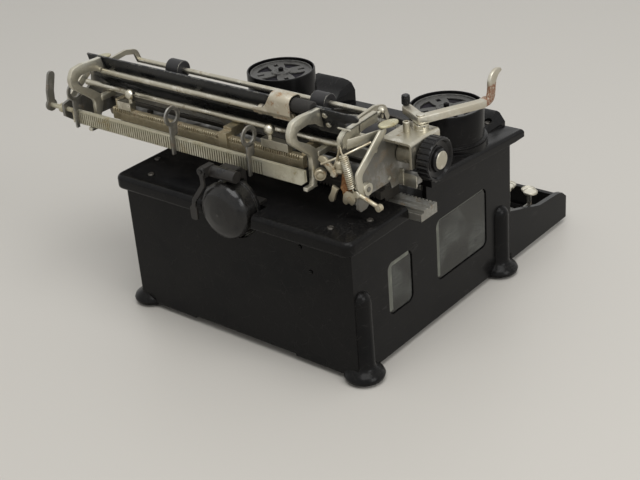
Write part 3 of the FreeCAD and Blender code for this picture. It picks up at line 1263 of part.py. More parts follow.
def paper_bail():
    y, z = -S.bail_y, S.bail_z
    py, pz = -S.bail_pivot_y, S.bail_pivot_z
    wide = 2.6
    pieces = []
    for x in (S.bail_left, S.bail_right - wide):
        arm = bent_bar([
            (x + wide / 2, py, pz), (x + wide / 2, py - 9, pz + 9), (x + wide / 2, py - 30, pz + 11),
                        (x + wide / 2, y + 4, z + 10), (x + wide / 2, y, z)], 6, wide, 5, (1, 0, 0))
        hub = Part.makeCylinder(4.6, wide, Vector(float(x), float(py), float(pz)), Vector(1, 0, 0))
        bore = Part.makeCylinder(float(S.bail_shaft_radius + S.running_clearance), wide + 2,
                                 Vector(float(x) - 1, float(py), float(pz)), Vector(1, 0, 0))
        pieces.append(shaped(arm.fuse(hub).cut(bore)))
    pieces.append(rod("X", (S.bail_left, y, z), S.bail_rod_radius, S.bail_right - S.bail_left))
    for x in (-22, 155):
        pieces.append(rod("X", (x - 8, y, z), S.bail_roller, 16))
    node("paper_bail", fuse(*pieces))


def release_levers():
    for label, start, side in (("release_lever_left", S.plate_left - 3.3, -1),
                               ("release_lever_right", S.plate_right + S.plate_thick + 0.3, 1)):
        x = start + 1.5
        y, z = -S.release_y, S.release_z
        bar = bent_bar([(x, y, z), (x, y - 2, z + 17), (x, y - 18, z + 38), (x, y - 28, z + 42.5),
                        (x, y - 44, z + 42.5)], 7, 3, 7, (1, 0, 0))
        hub = Part.makeCylinder(5, 3, Vector(float(start), float(y), float(z)), Vector(1, 0, 0))
        bore = Part.makeCylinder(float(S.pin_radius + S.running_clearance), 5,
                                 Vector(float(start) - 1, float(y), float(z)), Vector(1, 0, 0))
        near, far = (x - 7, x + 4) if side < 0 else (x - 4, x + 7)
        thumb = extruded("XY", z + 41.2, 3, [(near, y - 32), (near, y - 47), (far, y - 47), (far, y - 32)],
                         {3: (0, 1, 2, 3)})
        node(label, shaped(bar.fuse([hub, thumb]).cut(bore).removeSplitter()))


def tab_lever():
    x = S.tab_lever_x
    y, z = -S.comb_y, S.comb_rod_z
    wide = S.tab_lever_thick
    bar = bent_bar([(x + wide / 2, y, z), (x + wide / 2, y - 1, z + 14), (x + wide / 2, y - 5, z + 28)], 14,
                   wide, 8, (1, 0, 0))
    hub = Part.makeCylinder(6, float(wide), Vector(float(x), float(y), float(z)), Vector(1, 0, 0))
    tip = Part.makeCylinder(4, float(wide), Vector(float(x), float(y) - 5, float(z) + 28), Vector(1, 0, 0))
    bore = Part.makeCylinder(float(S.comb_rod_radius + S.running_clearance), float(wide) + 2,
                             Vector(float(x) - 1, float(y), float(z)), Vector(1, 0, 0))
    node("tab_lever", shaped(bar.fuse([hub, tip]).cut(bore).removeSplitter()))


def paper_guide():
    """The nickel clip that slides along the upper rod behind the paper table."""
    left, right = S.guide_clip_left, S.guide_clip_right
    y, z, radius = -S.upper_rod_y, S.upper_rod_z, S.upper_rod_radius
    face = y + radius + 0.3
    sheet_thick = 1.2
    blade = extruded("XZ", face, sheet_thick, [
        (left, z - 6), (left + 8, z - 6), (left + 10, z - 3), (right - 10, z - 3), (right - 8, z - 6),
        (right, z - 6), (right, S.guide_clip_top), (left, S.guide_clip_top)], {3: (6, 7)})
    hooks = []
    for x in (left + 4, right - 8):
        for low in (z + radius + 0.3, z - radius - 0.3 - 1.4):
            hooks.append(Part.makeBox(4, float(radius) * 2 + 0.3, 1.4, Vector(
                float(x), float(face) - float(radius) * 2 - 0.3, float(low))))
    node("paper_guide", shaped(blade.fuse(hooks).removeSplitter()))


def release_linkage():
    """The channel, spring and cams at the left of the carriage that lift the release levers back."""
    x = S.linkage_x
    half = 4
    rail_top = S.rear_rail_high
    channel = fuse(*[
        box((x - half, x + half), (-77, -24), (210.4, 212)), box((x - half, x - half + 1.6), (-77, -24),
                                                                 (S.channel_low, 211)),
        box((x + half - 1.6, x + half), (-77, -24), (S.channel_low, 211)),
        box((x - 3, x + 3), (-S.rear_rail_y - 1, -S.rear_rail_y + 2), (rail_top, 211)),
        rod("-Y", (x, -76, 211), 1.6, 8), ])
    ring = Part.makeTorus(3.2, 1.1, Vector(float(x), -87, 211), Vector(1, 0, 0))
    top, foot = Vector(float(x), -33, 204), Vector(float(x), -39, 158)
    run = foot - top
    unit = run / run.Length
    coils = [Part.makeCylinder(1, 12, top + unit * -7, unit)]
    turns = 9
    pitch = (run.Length - 12) / turns
    for index in range(turns):
        start = top + unit * (5 + pitch * index)
        coils.append(Part.makeCone(2.6, 4, pitch / 2, start, unit))
        coils.append(Part.makeCone(4, 2.6, pitch / 2, start + unit * (pitch / 2), unit))
    coils.append(Part.makeCylinder(1, 8, foot - unit * 8, unit))
    spring = coils[0].fuse(coils[1:])
    start = float(x)
    cams = [Part.makeCylinder(radius, 3, Vector(start, y, z), Vector(1, 0, 0))
            for y, z, radius in ((-33, 152, 6), (-18, 161, 4), (-39, 157, 3), (-46, 149.5, 3.6))]
    link = bent_bar([(start + 1.5, -18, 161), (start + 1.5, -33, 152), (start + 1.5, -46, 149.5),
                     (start + 1.5, -58, 142.5)], 4, 3, 5, (1, 0, 0))
    node("release_linkage", group(fuse(channel, shaped(ring)), shaped(
        cams[0].fuse(cams[1:] + [link, spring]).removeSplitter())))


carriage_frame()
paper_table()
paper_table_arms()
carriage_rods()
tab_rack()
tab_stops()
margin_rack()
margin_stops()
lever_housing()
return_lever()
platen_parts()
paper_bail()
release_levers()
tab_lever()
paper_guide()
release_linkage()


# ---------------------------------------------------------------- check and export

DOC.recompute()
os.makedirs("parts", exist_ok=True)
for item in DOC.Objects:
    if "Invalid" in item.State or "Error" in item.State:
        raise RuntimeError(f"{item.Label} failed: {item.State}")
for item in NODES:
    if item.Shape.isNull() or not item.Shape.isValid() or item.Shape.Volume <= 0:
        raise RuntimeError(f"{item.Label} has no valid shape")
    item.Shape.exportStep(f"parts/{item.Label}.step")
print(len(NODES), "nodes written")
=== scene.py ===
"""Dresses the desk typewriter: finishes, small trim, floor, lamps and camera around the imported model."""

import logging
import math
from dataclasses import dataclass
from enum import Enum

import bmesh
import bpy
from mathutils import Matrix, Vector


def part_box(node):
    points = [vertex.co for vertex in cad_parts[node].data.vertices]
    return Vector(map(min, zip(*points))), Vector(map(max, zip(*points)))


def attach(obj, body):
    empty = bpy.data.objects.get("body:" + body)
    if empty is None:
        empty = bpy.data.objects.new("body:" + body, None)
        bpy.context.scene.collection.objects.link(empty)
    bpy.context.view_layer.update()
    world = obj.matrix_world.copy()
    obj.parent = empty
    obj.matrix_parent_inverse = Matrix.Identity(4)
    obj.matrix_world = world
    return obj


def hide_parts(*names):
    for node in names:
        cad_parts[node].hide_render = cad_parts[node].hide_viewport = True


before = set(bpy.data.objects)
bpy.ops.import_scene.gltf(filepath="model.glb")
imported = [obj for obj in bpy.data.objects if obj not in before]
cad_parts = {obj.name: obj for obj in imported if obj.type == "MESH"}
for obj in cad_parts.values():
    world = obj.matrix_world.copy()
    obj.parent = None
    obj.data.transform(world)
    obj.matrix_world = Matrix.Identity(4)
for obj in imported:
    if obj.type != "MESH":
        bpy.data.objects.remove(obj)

LOG = logging.getLogger("desk_typewriter")
MM = 0.001
ORIGIN = Vector((-40.75, 165.35, 0.0))
SCRATCH_COLOUR = (0.22, 0.21, 0.2)
DUST_COLOUR = (0.30, 0.28, 0.25)
BUMP_DEPTH = 0.0002
MERGE = 1e-7
JOIN_WITHIN = 1e-6
GENTLE_BEND = math.radians(32)
GRAIN_DULLS = 0.08
STAIN_DULLS = 0.4
STAIN_SHIFT = 3.0
STAIN_HIDES_METAL = 0.9
SCRATCH_DULLS = 0.4
WEAR_DULLS = 0.25
DUST_DULLS = 0.5
Colour = tuple[float, float, float]
Place = tuple[float, float, float]
Profile = tuple[tuple[float, float], ...]
Outline = list[tuple[float, float]]


def spot(x: float, y: float, z: float) -> Vector:
    """Turns a machine point in millimetres into a scene point.

    Args:
        x: Distance to the operator's right of the case's middle.
        y: Distance behind the rear panel.
        z: Height above the table.

    Returns:
        The point in metres, in the shared frame.
    """
    return (Vector((x, y, z)) + ORIGIN) * MM


# ------------------------------------------------------------------ finishes


class Net:
    """Adds shader nodes to one tree and joins them."""

    def __init__(self, tree: bpy.types.NodeTree) -> None:
        """Keeps the tree that the nodes go into."""
        self.tree = tree

    def add(self, kind: str, inputs: dict | None = None, **settings: object) -> bpy.types.Node:
        """Adds one node.

        Args:
            kind: The node's type, without its ShaderNode prefix.
            inputs: Values or sockets for the node's inputs, by name or number.
            settings: The node's own settings.

        Returns:
            The new node.
        """
        node = self.tree.nodes.new(kind if kind.startswith("Node") else "ShaderNode" + kind)
        for name, value in settings.items():
            setattr(node, name, value)
        for name, value in (inputs or {}).items():
            if isinstance(value, bpy.types.NodeSocket):
                self.tree.links.new(value, node.inputs[name])
            else:
                node.inputs[name].default_value = value
        return node

    def math(self, operation: str, *values: object, clamp: bool = False) -> bpy.types.NodeSocket:
        """Adds a Math node and returns its result."""
        node = self.add("Math", dict(enumerate(values)), operation=operation, use_clamp=clamp)
        return node.outputs[0]

    def blend(self, amount: object, first: object, second: object) -> bpy.types.NodeSocket:
        """Mixes two colours by an amount and returns the result."""
        node = self.add("Mix", {0: amount, 6: first, 7: second}, data_type="RGBA")
        return node.outputs[2]

    def step(self, value: bpy.types.NodeSocket, low: float, high: float) -> bpy.types.NodeSocket:
        """Maps a value between two limits smoothly to the range from 0 to 1."""
        node = self.add("MapRange", {0: value, 1: low, 2: high}, interpolation_type="SMOOTHSTEP")
        return node.outputs[0]

    def place(self) -> bpy.types.NodeSocket:
        """Gives the place on the piece, in the piece's own coordinates."""
        return self.add("TexCoord").outputs["Object"]

    def noise(self, place: object, scale: object, detail: float, **more: float) -> bpy.types.Node:
        """Adds a noise pattern at a place, with its scale in counts per metre."""
        return self.add("TexNoise", {"Vector": place, "Scale": scale, "Detail": detail, **more})

    def vector(self, operation: str, *values: object) -> bpy.types.Node:
        """Adds a Vector Math node."""
        return self.add("VectorMath", dict(enumerate(values)), operation=operation)

    def join(self, source: bpy.types.NodeSocket, target: bpy.types.NodeSocket) -> None:
        """Joins two sockets."""
        self.tree.links.new(source, target)


def rgba(colour: Colour) -> tuple[float, float, float, float]:
    """Adds full opacity to a colour."""
    return (*colour, 1.0)


class Effect(Enum):
    """The effects that several finishes share."""

    PATCHES = "surface_patches"
    SCRATCHES = "fine_scratches"
    GRAIN = "drawn_grain"
    EDGES = "rubbed_edges"
    DUST = "settled_dust"
    ZONE = "worn_zone"


class EffectKit:
    """Builds each shared effect once as a node group and places it in materials."""

    fine_grain: float = 900.0
    scratch_turns: tuple[float, ...] = (0.5, 1.7, 2.6)
    bend_limits: tuple[float, float] = (0.01, 0.12)
    rub_grain: float = 260.0
    dust_grain: float = 520.0
    dust_clouds: float = 22.0
    zone_grain: float = 240.0
    zone_ragged: Place = (0.004, 0.004, 0.004)

    def __init__(self) -> None:
        """Builds every group."""
        self.groups = {
            Effect.PATCHES: self.patches(),
            Effect.SCRATCHES: self.scratches(),
            Effect.GRAIN: self.grain(),
            Effect.EDGES: self.edges(),
            Effect.DUST: self.dust(),
            Effect.ZONE: self.zone(),
        }

    @staticmethod
    def start(effect: Effect, inputs: dict[str, float | Place], outputs: tuple[str, ...]) -> tuple:
        """Starts a group with its named sockets.

        Args:
            effect: Which effect the group is for.
            inputs: The inputs, numbers or places, and their defaults.
            outputs: The number outputs.

        Returns:
            The tree, its net, its input node and its output node.
        """
        tree = bpy.data.node_groups.new(effect.value, "ShaderNodeTree")
        face = tree.interface
        for name, value in inputs.items():
            kind = "NodeSocketVector" if isinstance(value, tuple) else "NodeSocketFloat"
            face.new_socket(name, in_out="INPUT", socket_type=kind).default_value = value
        for name in outputs:
            face.new_socket(name, in_out="OUTPUT", socket_type="NodeSocketFloat")
        net = Net(tree)
        return tree, net, net.add("NodeGroupInput"), net.add("NodeGroupOutput")

    def patches(self) -> bpy.types.NodeTree:
        """Cloudy patches: input Size and Reach, outputs Mask and Fine.

        Returns:
            The group.
        """
        tree, net, given, out = self.start(
            Effect.PATCHES, {"Size": 40.0, "Reach": 0.5, "Shift": 0.0}, ("Mask", "Fine"))
        moved = net.vector("ADD", net.place(), given.outputs["Shift"]).outputs[0]
        broad = net.noise(moved, given.outputs["Size"], 5.0, Roughness=0.62)
        fine = net.noise(moved, self.fine_grain, 3.0)
        low = net.math("MULTIPLY", net.math("SUBTRACT", 1.0, given.outputs["Reach"]), 0.72)
        net.join(net.step(broad.outputs[0], low, net.math("ADD", low, 0.16)), out.inputs["Mask"])
        net.join(fine.outputs[0], out.inputs["Fine"])
        return tree

    def scratches(self) -> bpy.types.NodeTree:
        """Thin crossing lines: inputs Density and Amount, output Mask.

        Returns:
            The group.
        """
        tree, net, given, out = self.start(Effect.SCRATCHES, {"Density": 60.0, "Amount": 0.5}, ("Mask",))
        place = net.place()
        total = None
        for turn in self.scratch_turns:
            tilted = net.add("Mapping", {"Vector": place, "Rotation": (turn, turn * 0.6, turn * 1.3),
                                         "Scale": (1.0, 0.06, 1.0)})
            cells = net.add("TexVoronoi", {"Vector": tilted.outputs[0], "Scale": given.outputs["Density"],
                                           "Randomness": 1.0}, feature="DISTANCE_TO_EDGE")
            broken = net.noise(place, 70.0 + 30.0 * turn, 2.0)
            line = net.math("MULTIPLY", net.step(cells.outputs[0], 0.012, 0.0),
                            net.step(broken.outputs[0], 0.52, 0.62))
            total = line if total is None else net.math("MAXIMUM", total, line)
        net.join(net.math("MULTIPLY", total, given.outputs["Amount"]), out.inputs["Mask"])
        return tree

    def grain(self) -> bpy.types.NodeTree:
        """Fine lines drawn along X, as on rolled bar: input Fineness, output Height.

        Returns:
            The group.
        """
        tree, net, given, out = self.start(Effect.GRAIN, {"Fineness": 1400.0}, ("Height",))
        drawn = net.add("Mapping", {"Vector": net.place(), "Scale": (0.03, 1.0, 1.0)})
        net.join(net.noise(drawn.outputs[0], given.outputs["Fineness"], 2.0).outputs[0], out.inputs["Height"])
        return tree

    def edges(self) -> bpy.types.NodeTree:
        """Where edges are rubbed: inputs Width in metres and Amount, output Mask.

        Returns:
            The group.
        """
        tree, net, given, out = self.start(Effect.EDGES, {"Width": 0.001, "Amount": 1.0}, ("Mask",))
        flat = net.add("NewGeometry").outputs["Normal"]
        round_off = net.add("Bevel", {"Radius": given.outputs["Width"]}, samples=4)
        same = net.vector("DOT_PRODUCT", flat, round_off.outputs[0])
        off = net.math("SUBTRACT", 1.0, same.outputs["Value"])
        rough = net.noise(net.place(), self.rub_grain, 4.0)
        mask = net.math("MULTIPLY", net.step(off, *self.bend_limits), net.step(rough.outputs[0], 0.44, 0.6))
        net.join(net.math("MULTIPLY", mask, given.outputs["Amount"]), out.inputs["Mask"])
        return tree

    def dust(self) -> bpy.types.NodeTree:
        """Dust on what faces up: input Amount, output Mask.

        Returns:
            The group.
        """
        tree, net, given, out = self.start(Effect.DUST, {"Amount": 0.3}, ("Mask",))
        up = net.add("SeparateXYZ", {0: net.add("NewGeometry").outputs["Normal"]}).outputs[2]
        place = net.place()
        specks = net.noise(place, self.dust_grain, 6.0, Roughness=0.7)
        cloud = net.noise(place, self.dust_clouds, 3.0)
        mask = net.math("MULTIPLY", net.step(up, 0.2, 0.95), net.step(specks.outputs[0], 0.42, 0.72))
        mask = net.math("MULTIPLY", mask, net.step(cloud.outputs[0], 0.3, 0.65))
        net.join(net.math("MULTIPLY", mask, given.outputs["Amount"]), out.inputs["Mask"])
        return tree

    def zone(self) -> bpy.types.NodeTree:
        """Inside a block with ragged sides: inputs Low and High, output Mask.

        Returns:
            The group.
        """
        tree, net, given, out = self.start(
            Effect.ZONE, {"Low": (0.0, 0.0, 0.0), "High": (1.0, 1.0, 1.0)}, ("Mask",))
        place = net.place()
        rough = net.noise(place, self.zone_grain, 4.0).outputs["Color"]
        moved = net.vector("MULTIPLY_ADD", rough, self.zone_ragged, place).outputs[0]
        over = net.vector("SUBTRACT", moved, given.outputs["Low"]).outputs[0]
        under = net.vector("SUBTRACT", given.outputs["High"], moved).outputs[0]
        mask = None
        for side in (over, under):
            for part in net.add("SeparateXYZ", {0: side}).outputs:
                inside = net.step(part, 0.0, 0.002)
                mask = inside if mask is None else net.math("MULTIPLY", mask, inside)
        net.join(mask, out.inputs["Mask"])
        return tree

    def place(self, net: Net, effect: Effect, **values: float | Vector) -> bpy.types.Node:
        """Puts an effect into a material with its own values.

        Args:
            net: The material's net.
            effect: Which effect.
            values: The effect's inputs, by name.

        Returns:
            The group's node.
        """
        node = net.add("Group", node_tree=self.groups[effect])
        for name, value in values.items():
            node.inputs[name.capitalize()].default_value = value
        return node


@dataclass(frozen=True)
class Finish:
    """One surface finish. Sizes of patterns are counts per metre."""

    name: str
    colour: Colour
    cloud: Colour
    smooth: float
    dull: float
    metal: float = 0.0
    cloud_size: float = 40.0
    cloud_reach: float = 0.5
    stain: Colour | None = None
    stain_size: float = 60.0
    stain_reach: float = 0.35
    stain_zone: tuple[Place, Place] | None = None
    worn: Colour | None = None
    worn_width: float = 0.0008
    worn_amount: float = 1.0
    dust: float = 0.0
    scratches: float = 0.0
    grain: float = 0.0
    specular: float = 0.5
    bump: float = 0.15
    soft_edge: float = 0.0005

    def make(self, kit: EffectKit) -> bpy.types.Material:
        """Builds the material.

        Args:
            kit: The shared effects.

        Returns:
            The material.
        """
        material = bpy.data.materials.new(self.name)
        material.use_nodes = True
        tree = material.node_tree
        tree.nodes.clear()
        net = Net(tree)
        patches = kit.place(net, Effect.PATCHES, size=self.cloud_size, reach=self.cloud_reach)
        colour = net.blend(patches.outputs["Mask"], rgba(self.colour), rgba(self.cloud))
        dullness = net.math("MULTIPLY_ADD", patches.outputs["Mask"], self.dull - self.smooth, self.smooth)
        metal: object = self.metal
        height = patches.outputs["Fine"]

        def cover(mask: bpy.types.NodeSocket, tint: Colour, dulling: float) -> None:
            """Lays a colour over the finish and dulls it there.

            Args:
                mask: Where the colour lies.
                tint: The colour.
                dulling: How much duller it is.
            """
            nonlocal colour, dullness
            colour = net.blend(mask, colour, rgba(tint))
            dullness = net.math("MULTIPLY_ADD", mask, dulling, dullness, clamp=True)

        if self.grain:
            drawn = kit.place(net, Effect.GRAIN).outputs["Height"]
            height = net.math("MULTIPLY_ADD", drawn, self.grain, height)
            dullness = net.math("MULTIPLY_ADD", drawn, GRAIN_DULLS, dullness)
        if self.stain:
            stain = kit.place(net, Effect.PATCHES, size=self.stain_size, reach=self.stain_reach,
                              shift=STAIN_SHIFT)
            amount = net.math("MULTIPLY", stain.outputs["Mask"], net.step(stain.outputs["Fine"], 0.3, 0.6))
            if self.stain_zone:
                low, high = (spot(*corner) for corner in self.stain_zone)
                zone = kit.place(net, Effect.ZONE, low=low, high=high).outputs["Mask"]
                amount = net.math("MULTIPLY", amount, zone)
            cover(amount, self.stain, STAIN_DULLS)
            if self.metal:
                metal = net.math("MULTIPLY_ADD", amount, -self.metal * STAIN_HIDES_METAL, self.metal)
        if self.scratches:
            lines = kit.place(net, Effect.SCRATCHES, amount=self.scratches).outputs["Mask"]
            cover(lines, SCRATCH_COLOUR, SCRATCH_DULLS)
        if self.worn:
            edge = kit.place(net, Effect.EDGES, width=self.worn_width, amount=self.worn_amount)
            cover(edge.outputs["Mask"], self.worn, WEAR_DULLS)
        if self.dust:
            dust = kit.place(net, Effect.DUST, amount=self.dust).outputs["Mask"]
            cover(dust, DUST_COLOUR, DUST_DULLS)
        shader = net.add("BsdfPrincipled", {"Base Color": colour, "Roughness": dullness, "Metallic": metal})
        shader.inputs["Specular IOR Level"].default_value = self.specular
        rounded = net.add("Bevel", {"Radius": self.soft_edge}, samples=4)
        bump = net.add("Bump", {"Strength": self.bump, "Distance": BUMP_DEPTH, "Height": height,
                                "Normal": rounded.outputs[0]})
        net.join(bump.outputs[0], shader.inputs["Normal"])
        net.join(shader.outputs[0], net.add("OutputMaterial").inputs[0])
        return material


ENAMEL = Finish("black_enamel", (0.0042, 0.0042, 0.0046), (0.0065, 0.0062, 0.0062), 0.13, 0.24,
                specular=0.12, cloud_size=18.0, dust=0.05, scratches=0.05, bump=0.05,
                worn=(0.07, 0.055, 0.04), worn_width=0.0009, worn_amount=0.14, soft_edge=0.0009)
BLACK_CASTING = Finish("black_casting", (0.010, 0.010, 0.010), (0.022, 0.020, 0.018), 0.22, 0.42,
                       specular=0.35, cloud_size=90.0, dust=0.08, bump=0.25, worn=(0.14, 0.12, 0.09),
                       worn_amount=0.35, soft_edge=0.0009)
INNER_ENAMEL = Finish("dusty_enamel", (0.014, 0.013, 0.012), (0.030, 0.027, 0.023), 0.3, 0.6,
                      specular=0.3, cloud_size=70.0, dust=0.22, bump=0.3, worn=(0.2, 0.17, 0.13),
                      worn_amount=0.5)
SPOOL_GREY = Finish("spool_lacquer", (0.046, 0.045, 0.043), (0.075, 0.073, 0.068), 0.3, 0.5, metal=0.25,
                    cloud_size=110.0, dust=0.12, bump=0.2, worn=(0.3, 0.29, 0.26), worn_amount=0.6,
                    soft_edge=0.0008)
NICKEL = Finish("aged_nickel", (0.66, 0.63, 0.545), (0.50, 0.47, 0.385), 0.2, 0.36, metal=1.0,
                cloud_size=65.0, stain=(0.22, 0.16, 0.085), stain_size=95.0, stain_reach=0.22,
                bump=0.1, grain=0.5)
PALE_NICKEL = Finish("pale_nickel", (0.64, 0.62, 0.535), (0.52, 0.49, 0.40), 0.3, 0.46, metal=0.9,
                     cloud_size=50.0, stain=(0.30, 0.22, 0.11), stain_reach=0.2, bump=0.12,
                     worn=(0.8, 0.78, 0.68), worn_amount=0.5)
RUSTY_NICKEL = Finish("rusty_nickel", (0.62, 0.60, 0.52), (0.52, 0.48, 0.39), 0.28, 0.45, metal=0.9,
                      stain=(0.21, 0.075, 0.026), stain_size=30.0, stain_reach=0.97, bump=0.2,
                      stain_zone=((-180.0, -178.0, 203.0), (-150.0, -150.0, 222.0)))
CLIP_NICKEL = Finish("clip_nickel", (0.62, 0.59, 0.50), (0.50, 0.45, 0.35), 0.3, 0.5, metal=0.8,
                     cloud_size=90.0, stain=(0.34, 0.20, 0.10), stain_size=120.0, stain_reach=0.25, bump=0.2)
LINK_NICKEL = Finish("link_nickel", (0.60, 0.57, 0.47), (0.46, 0.41, 0.30), 0.28, 0.46, metal=0.85,
                     cloud_size=120.0, stain=(0.34, 0.22, 0.10), stain_size=140.0, stain_reach=0.26, bump=0.2,
                     worn=(0.8, 0.77, 0.66), worn_amount=0.5, soft_edge=0.0003)
RUSTY_LINK = Finish("rusty_link", (0.50, 0.33, 0.15), (0.36, 0.19, 0.075), 0.45, 0.7, metal=0.35,
                    cloud_size=160.0, stain=(0.20, 0.08, 0.03), stain_size=200.0, stain_reach=0.5, bump=0.4)
THUMB_PAD = Finish("thumb_pad", (0.52, 0.49, 0.33), (0.42, 0.385, 0.24), 0.22, 0.36, metal=0.35,
                   cloud_size=90.0, stain=(0.30, 0.24, 0.12), stain_size=150.0, stain_reach=0.25, bump=0.08)
STEEL = Finish("grey_steel", (0.40, 0.395, 0.365), (0.29, 0.28, 0.25), 0.3, 0.48, metal=0.95,
               cloud_size=80.0, stain=(0.20, 0.14, 0.075), stain_size=120.0, stain_reach=0.25, grain=0.8,
               bump=0.15, worn=(0.62, 0.6, 0.52), worn_amount=0.5)
PLATE_STEEL = Finish("plate_steel", (0.30, 0.295, 0.275), (0.22, 0.212, 0.19), 0.34, 0.5, metal=0.85,
                     cloud_size=60.0, stain=(0.19, 0.15, 0.10), stain_size=90.0, stain_reach=0.3,
                     bump=0.15, worn=(0.5, 0.48, 0.42), worn_amount=0.7)
TYPEBAR_STEEL = Finish("typebar_steel", (0.50, 0.485, 0.43), (0.36, 0.345, 0.30), 0.24, 0.4, metal=1.0,
                       cloud_size=55.0, stain=(0.16, 0.12, 0.07), stain_size=90.0, stain_reach=0.18,
                       bump=0.05, soft_edge=0.0001)
COMB_NICKEL = Finish("comb_nickel", (0.64, 0.615, 0.50), (0.52, 0.49, 0.375), 0.34, 0.5, metal=0.75,
                     cloud_size=36.0, stain=(0.34, 0.28, 0.15), stain_size=60.0, stain_reach=0.3,
                     bump=0.12)
DARK_STEEL = Finish("oiled_steel", (0.040, 0.038, 0.035), (0.075, 0.068, 0.058), 0.32, 0.55, metal=0.7,
                    cloud_size=80.0, dust=0.15, bump=0.25, worn=(0.2, 0.18, 0.15), worn_amount=0.5)
BRASS = Finish("tarnished_brass", (0.55, 0.485, 0.35), (0.42, 0.365, 0.25), 0.3, 0.5, metal=0.95,
               cloud_size=90.0, stain=(0.22, 0.15, 0.08), stain_reach=0.3, grain=0.8, bump=0.2,
               worn=(0.72, 0.67, 0.52), worn_amount=0.7)
PLATEN_RUBBER = Finish("platen_rubber", (0.012, 0.012, 0.013), (0.022, 0.021, 0.022), 0.36, 0.52,
                       specular=0.4, cloud_size=26.0, dust=0.06, bump=0.15, soft_edge=0.0008)
FOOT_RUBBER = Finish("foot_rubber", (0.018, 0.017, 0.016), (0.03, 0.028, 0.026), 0.65, 0.85,
                     specular=0.3, cloud_size=60.0, dust=0.2, bump=0.4)
KNOB = Finish("knob_composition", (0.005, 0.005, 0.0055), (0.009, 0.0085, 0.0085), 0.1, 0.22, specular=0.24,
              cloud_size=80.0, dust=0.04, bump=0.06, worn=(0.09, 0.08, 0.07), worn_amount=0.2)
DRUM_LACQUER = Finish("drum_lacquer", (0.007, 0.007, 0.007), (0.014, 0.013, 0.012), 0.12, 0.26, specular=0.35,
                      cloud_size=60.0, dust=0.06, bump=0.12, worn=(0.14, 0.12, 0.09), worn_amount=0.35,
                      soft_edge=0.0009)
BLUED_SHEET = Finish("blued_sheet", (0.010, 0.011, 0.013), (0.020, 0.021, 0.023), 0.18, 0.34, metal=0.2,
                     specular=0.4, cloud_size=24.0, dust=0.05, scratches=0.12, bump=0.06,
                     worn=(0.30, 0.29, 0.25), worn_width=0.0012, worn_amount=0.9)
IVORY = Finish("key_ivory", (0.78, 0.76, 0.68), (0.70, 0.66, 0.55), 0.18, 0.32, cloud_size=90.0,
               stain=(0.45, 0.36, 0.22), stain_size=160.0, stain_reach=0.2, bump=0.05)
RIBBON = Finish("inked_ribbon", (0.008, 0.008, 0.010), (0.016, 0.014, 0.018), 0.7, 0.9, specular=0.2,
                cloud_size=200.0, bump=0.8)
# Painted highlight: the pale colour of the window bevels, lit along their rear and top edges only.
GLASS_EDGE_HIGHLIGHT = Finish("painted_glass_edge_highlight", (0.19, 0.20, 0.16), (0.11, 0.115, 0.095), 0.25, 0.5,
                    cloud_size=45.0, cloud_reach=0.6, bump=0.2)

NODES_OF: dict[Finish, str] = {
    ENAMEL: "main_case rear_deck front_deck front_plate keyboard_frame spool_cup_left spool_cup_right",
    INNER_ENAMEL: "type_guard segment_carrier escape_bracket",
    DRUM_LACQUER: "spring_drum",
    FOOT_RUBBER: "rubber_feet",
    DARK_STEEL: "deck_screws key_lever_comb carriage_truck paper_pan",
    STEEL: ("key_lever_shaft type_segment carriage_rail platen_shaft key_row_1 key_row_2 key_row_3 "
            "key_row_4 sample_key shift_keys shift_lock_key margin_release_key tab_key backspace_key"),
    TYPEBAR_STEEL: "typebars sample_typebar",
    NICKEL: "type_guide carriage_rods lever_housing paper_bail margin_stop_left margin_stop_right",
    BLACK_CASTING: "drum_bracket space_bar drum_lever",
    PLATE_STEEL: "carriage_frame tab_stops tab_lever",
    COMB_NICKEL: "tab_rack",
    BRASS: "margin_rack escape_wheel",
    BLUED_SHEET: "paper_table",
    PALE_NICKEL: "paper_table_arms release_linkage release_lever_left release_lever_right",
    PLATEN_RUBBER: "platen",
    KNOB: "knob_left knob_right",
    SPOOL_GREY: "ribbon_spool_left ribbon_spool_right",
    RUSTY_NICKEL: "return_lever",
    CLIP_NICKEL: "paper_guide",
}
NODE_FINISH = {name: finish for finish, names in NODES_OF.items() for name in names.split()}


@dataclass
class GlassPanes:
    """The side panes' own clear finish, with patches of dirt film that also stand in for painted reflections.
    """

    tint: Colour = (0.26, 0.27, 0.25)
    film_and_reflection: Colour = (0.13, 0.13, 0.118)
    film_and_reflection_size: float = 22.0
    smooth: float = 0.06
    film_and_reflection_dulls: float = 0.12
    bending: float = 1.3
    clear: float = 0.8

    def make(self, kit: EffectKit) -> bpy.types.Material:
        """Builds the glass.

        Args:
            kit: The shared effects.

        Returns:
            The material.
        """
        material = bpy.data.materials.new("side_glass")
        material.use_nodes = True
        net = Net(material.node_tree)
        net.tree.nodes.clear()
        # Patches of dirt film, partly painted reflection: blotches that copy reflections on the panes.
        patches = kit.place(net, Effect.PATCHES, size=self.film_and_reflection_size)
        colour = net.blend(patches.outputs["Mask"], rgba(self.tint), rgba(self.film_and_reflection))
        dullness = net.math("MULTIPLY_ADD", patches.outputs["Mask"], self.film_and_reflection_dulls, self.smooth)
        shader = net.add("BsdfPrincipled", {"Base Color": colour, "Roughness": dullness, "IOR": self.bending,
                                            "Transmission Weight": self.clear})
        net.join(shader.outputs[0], net.add("OutputMaterial").inputs[0])
        return material


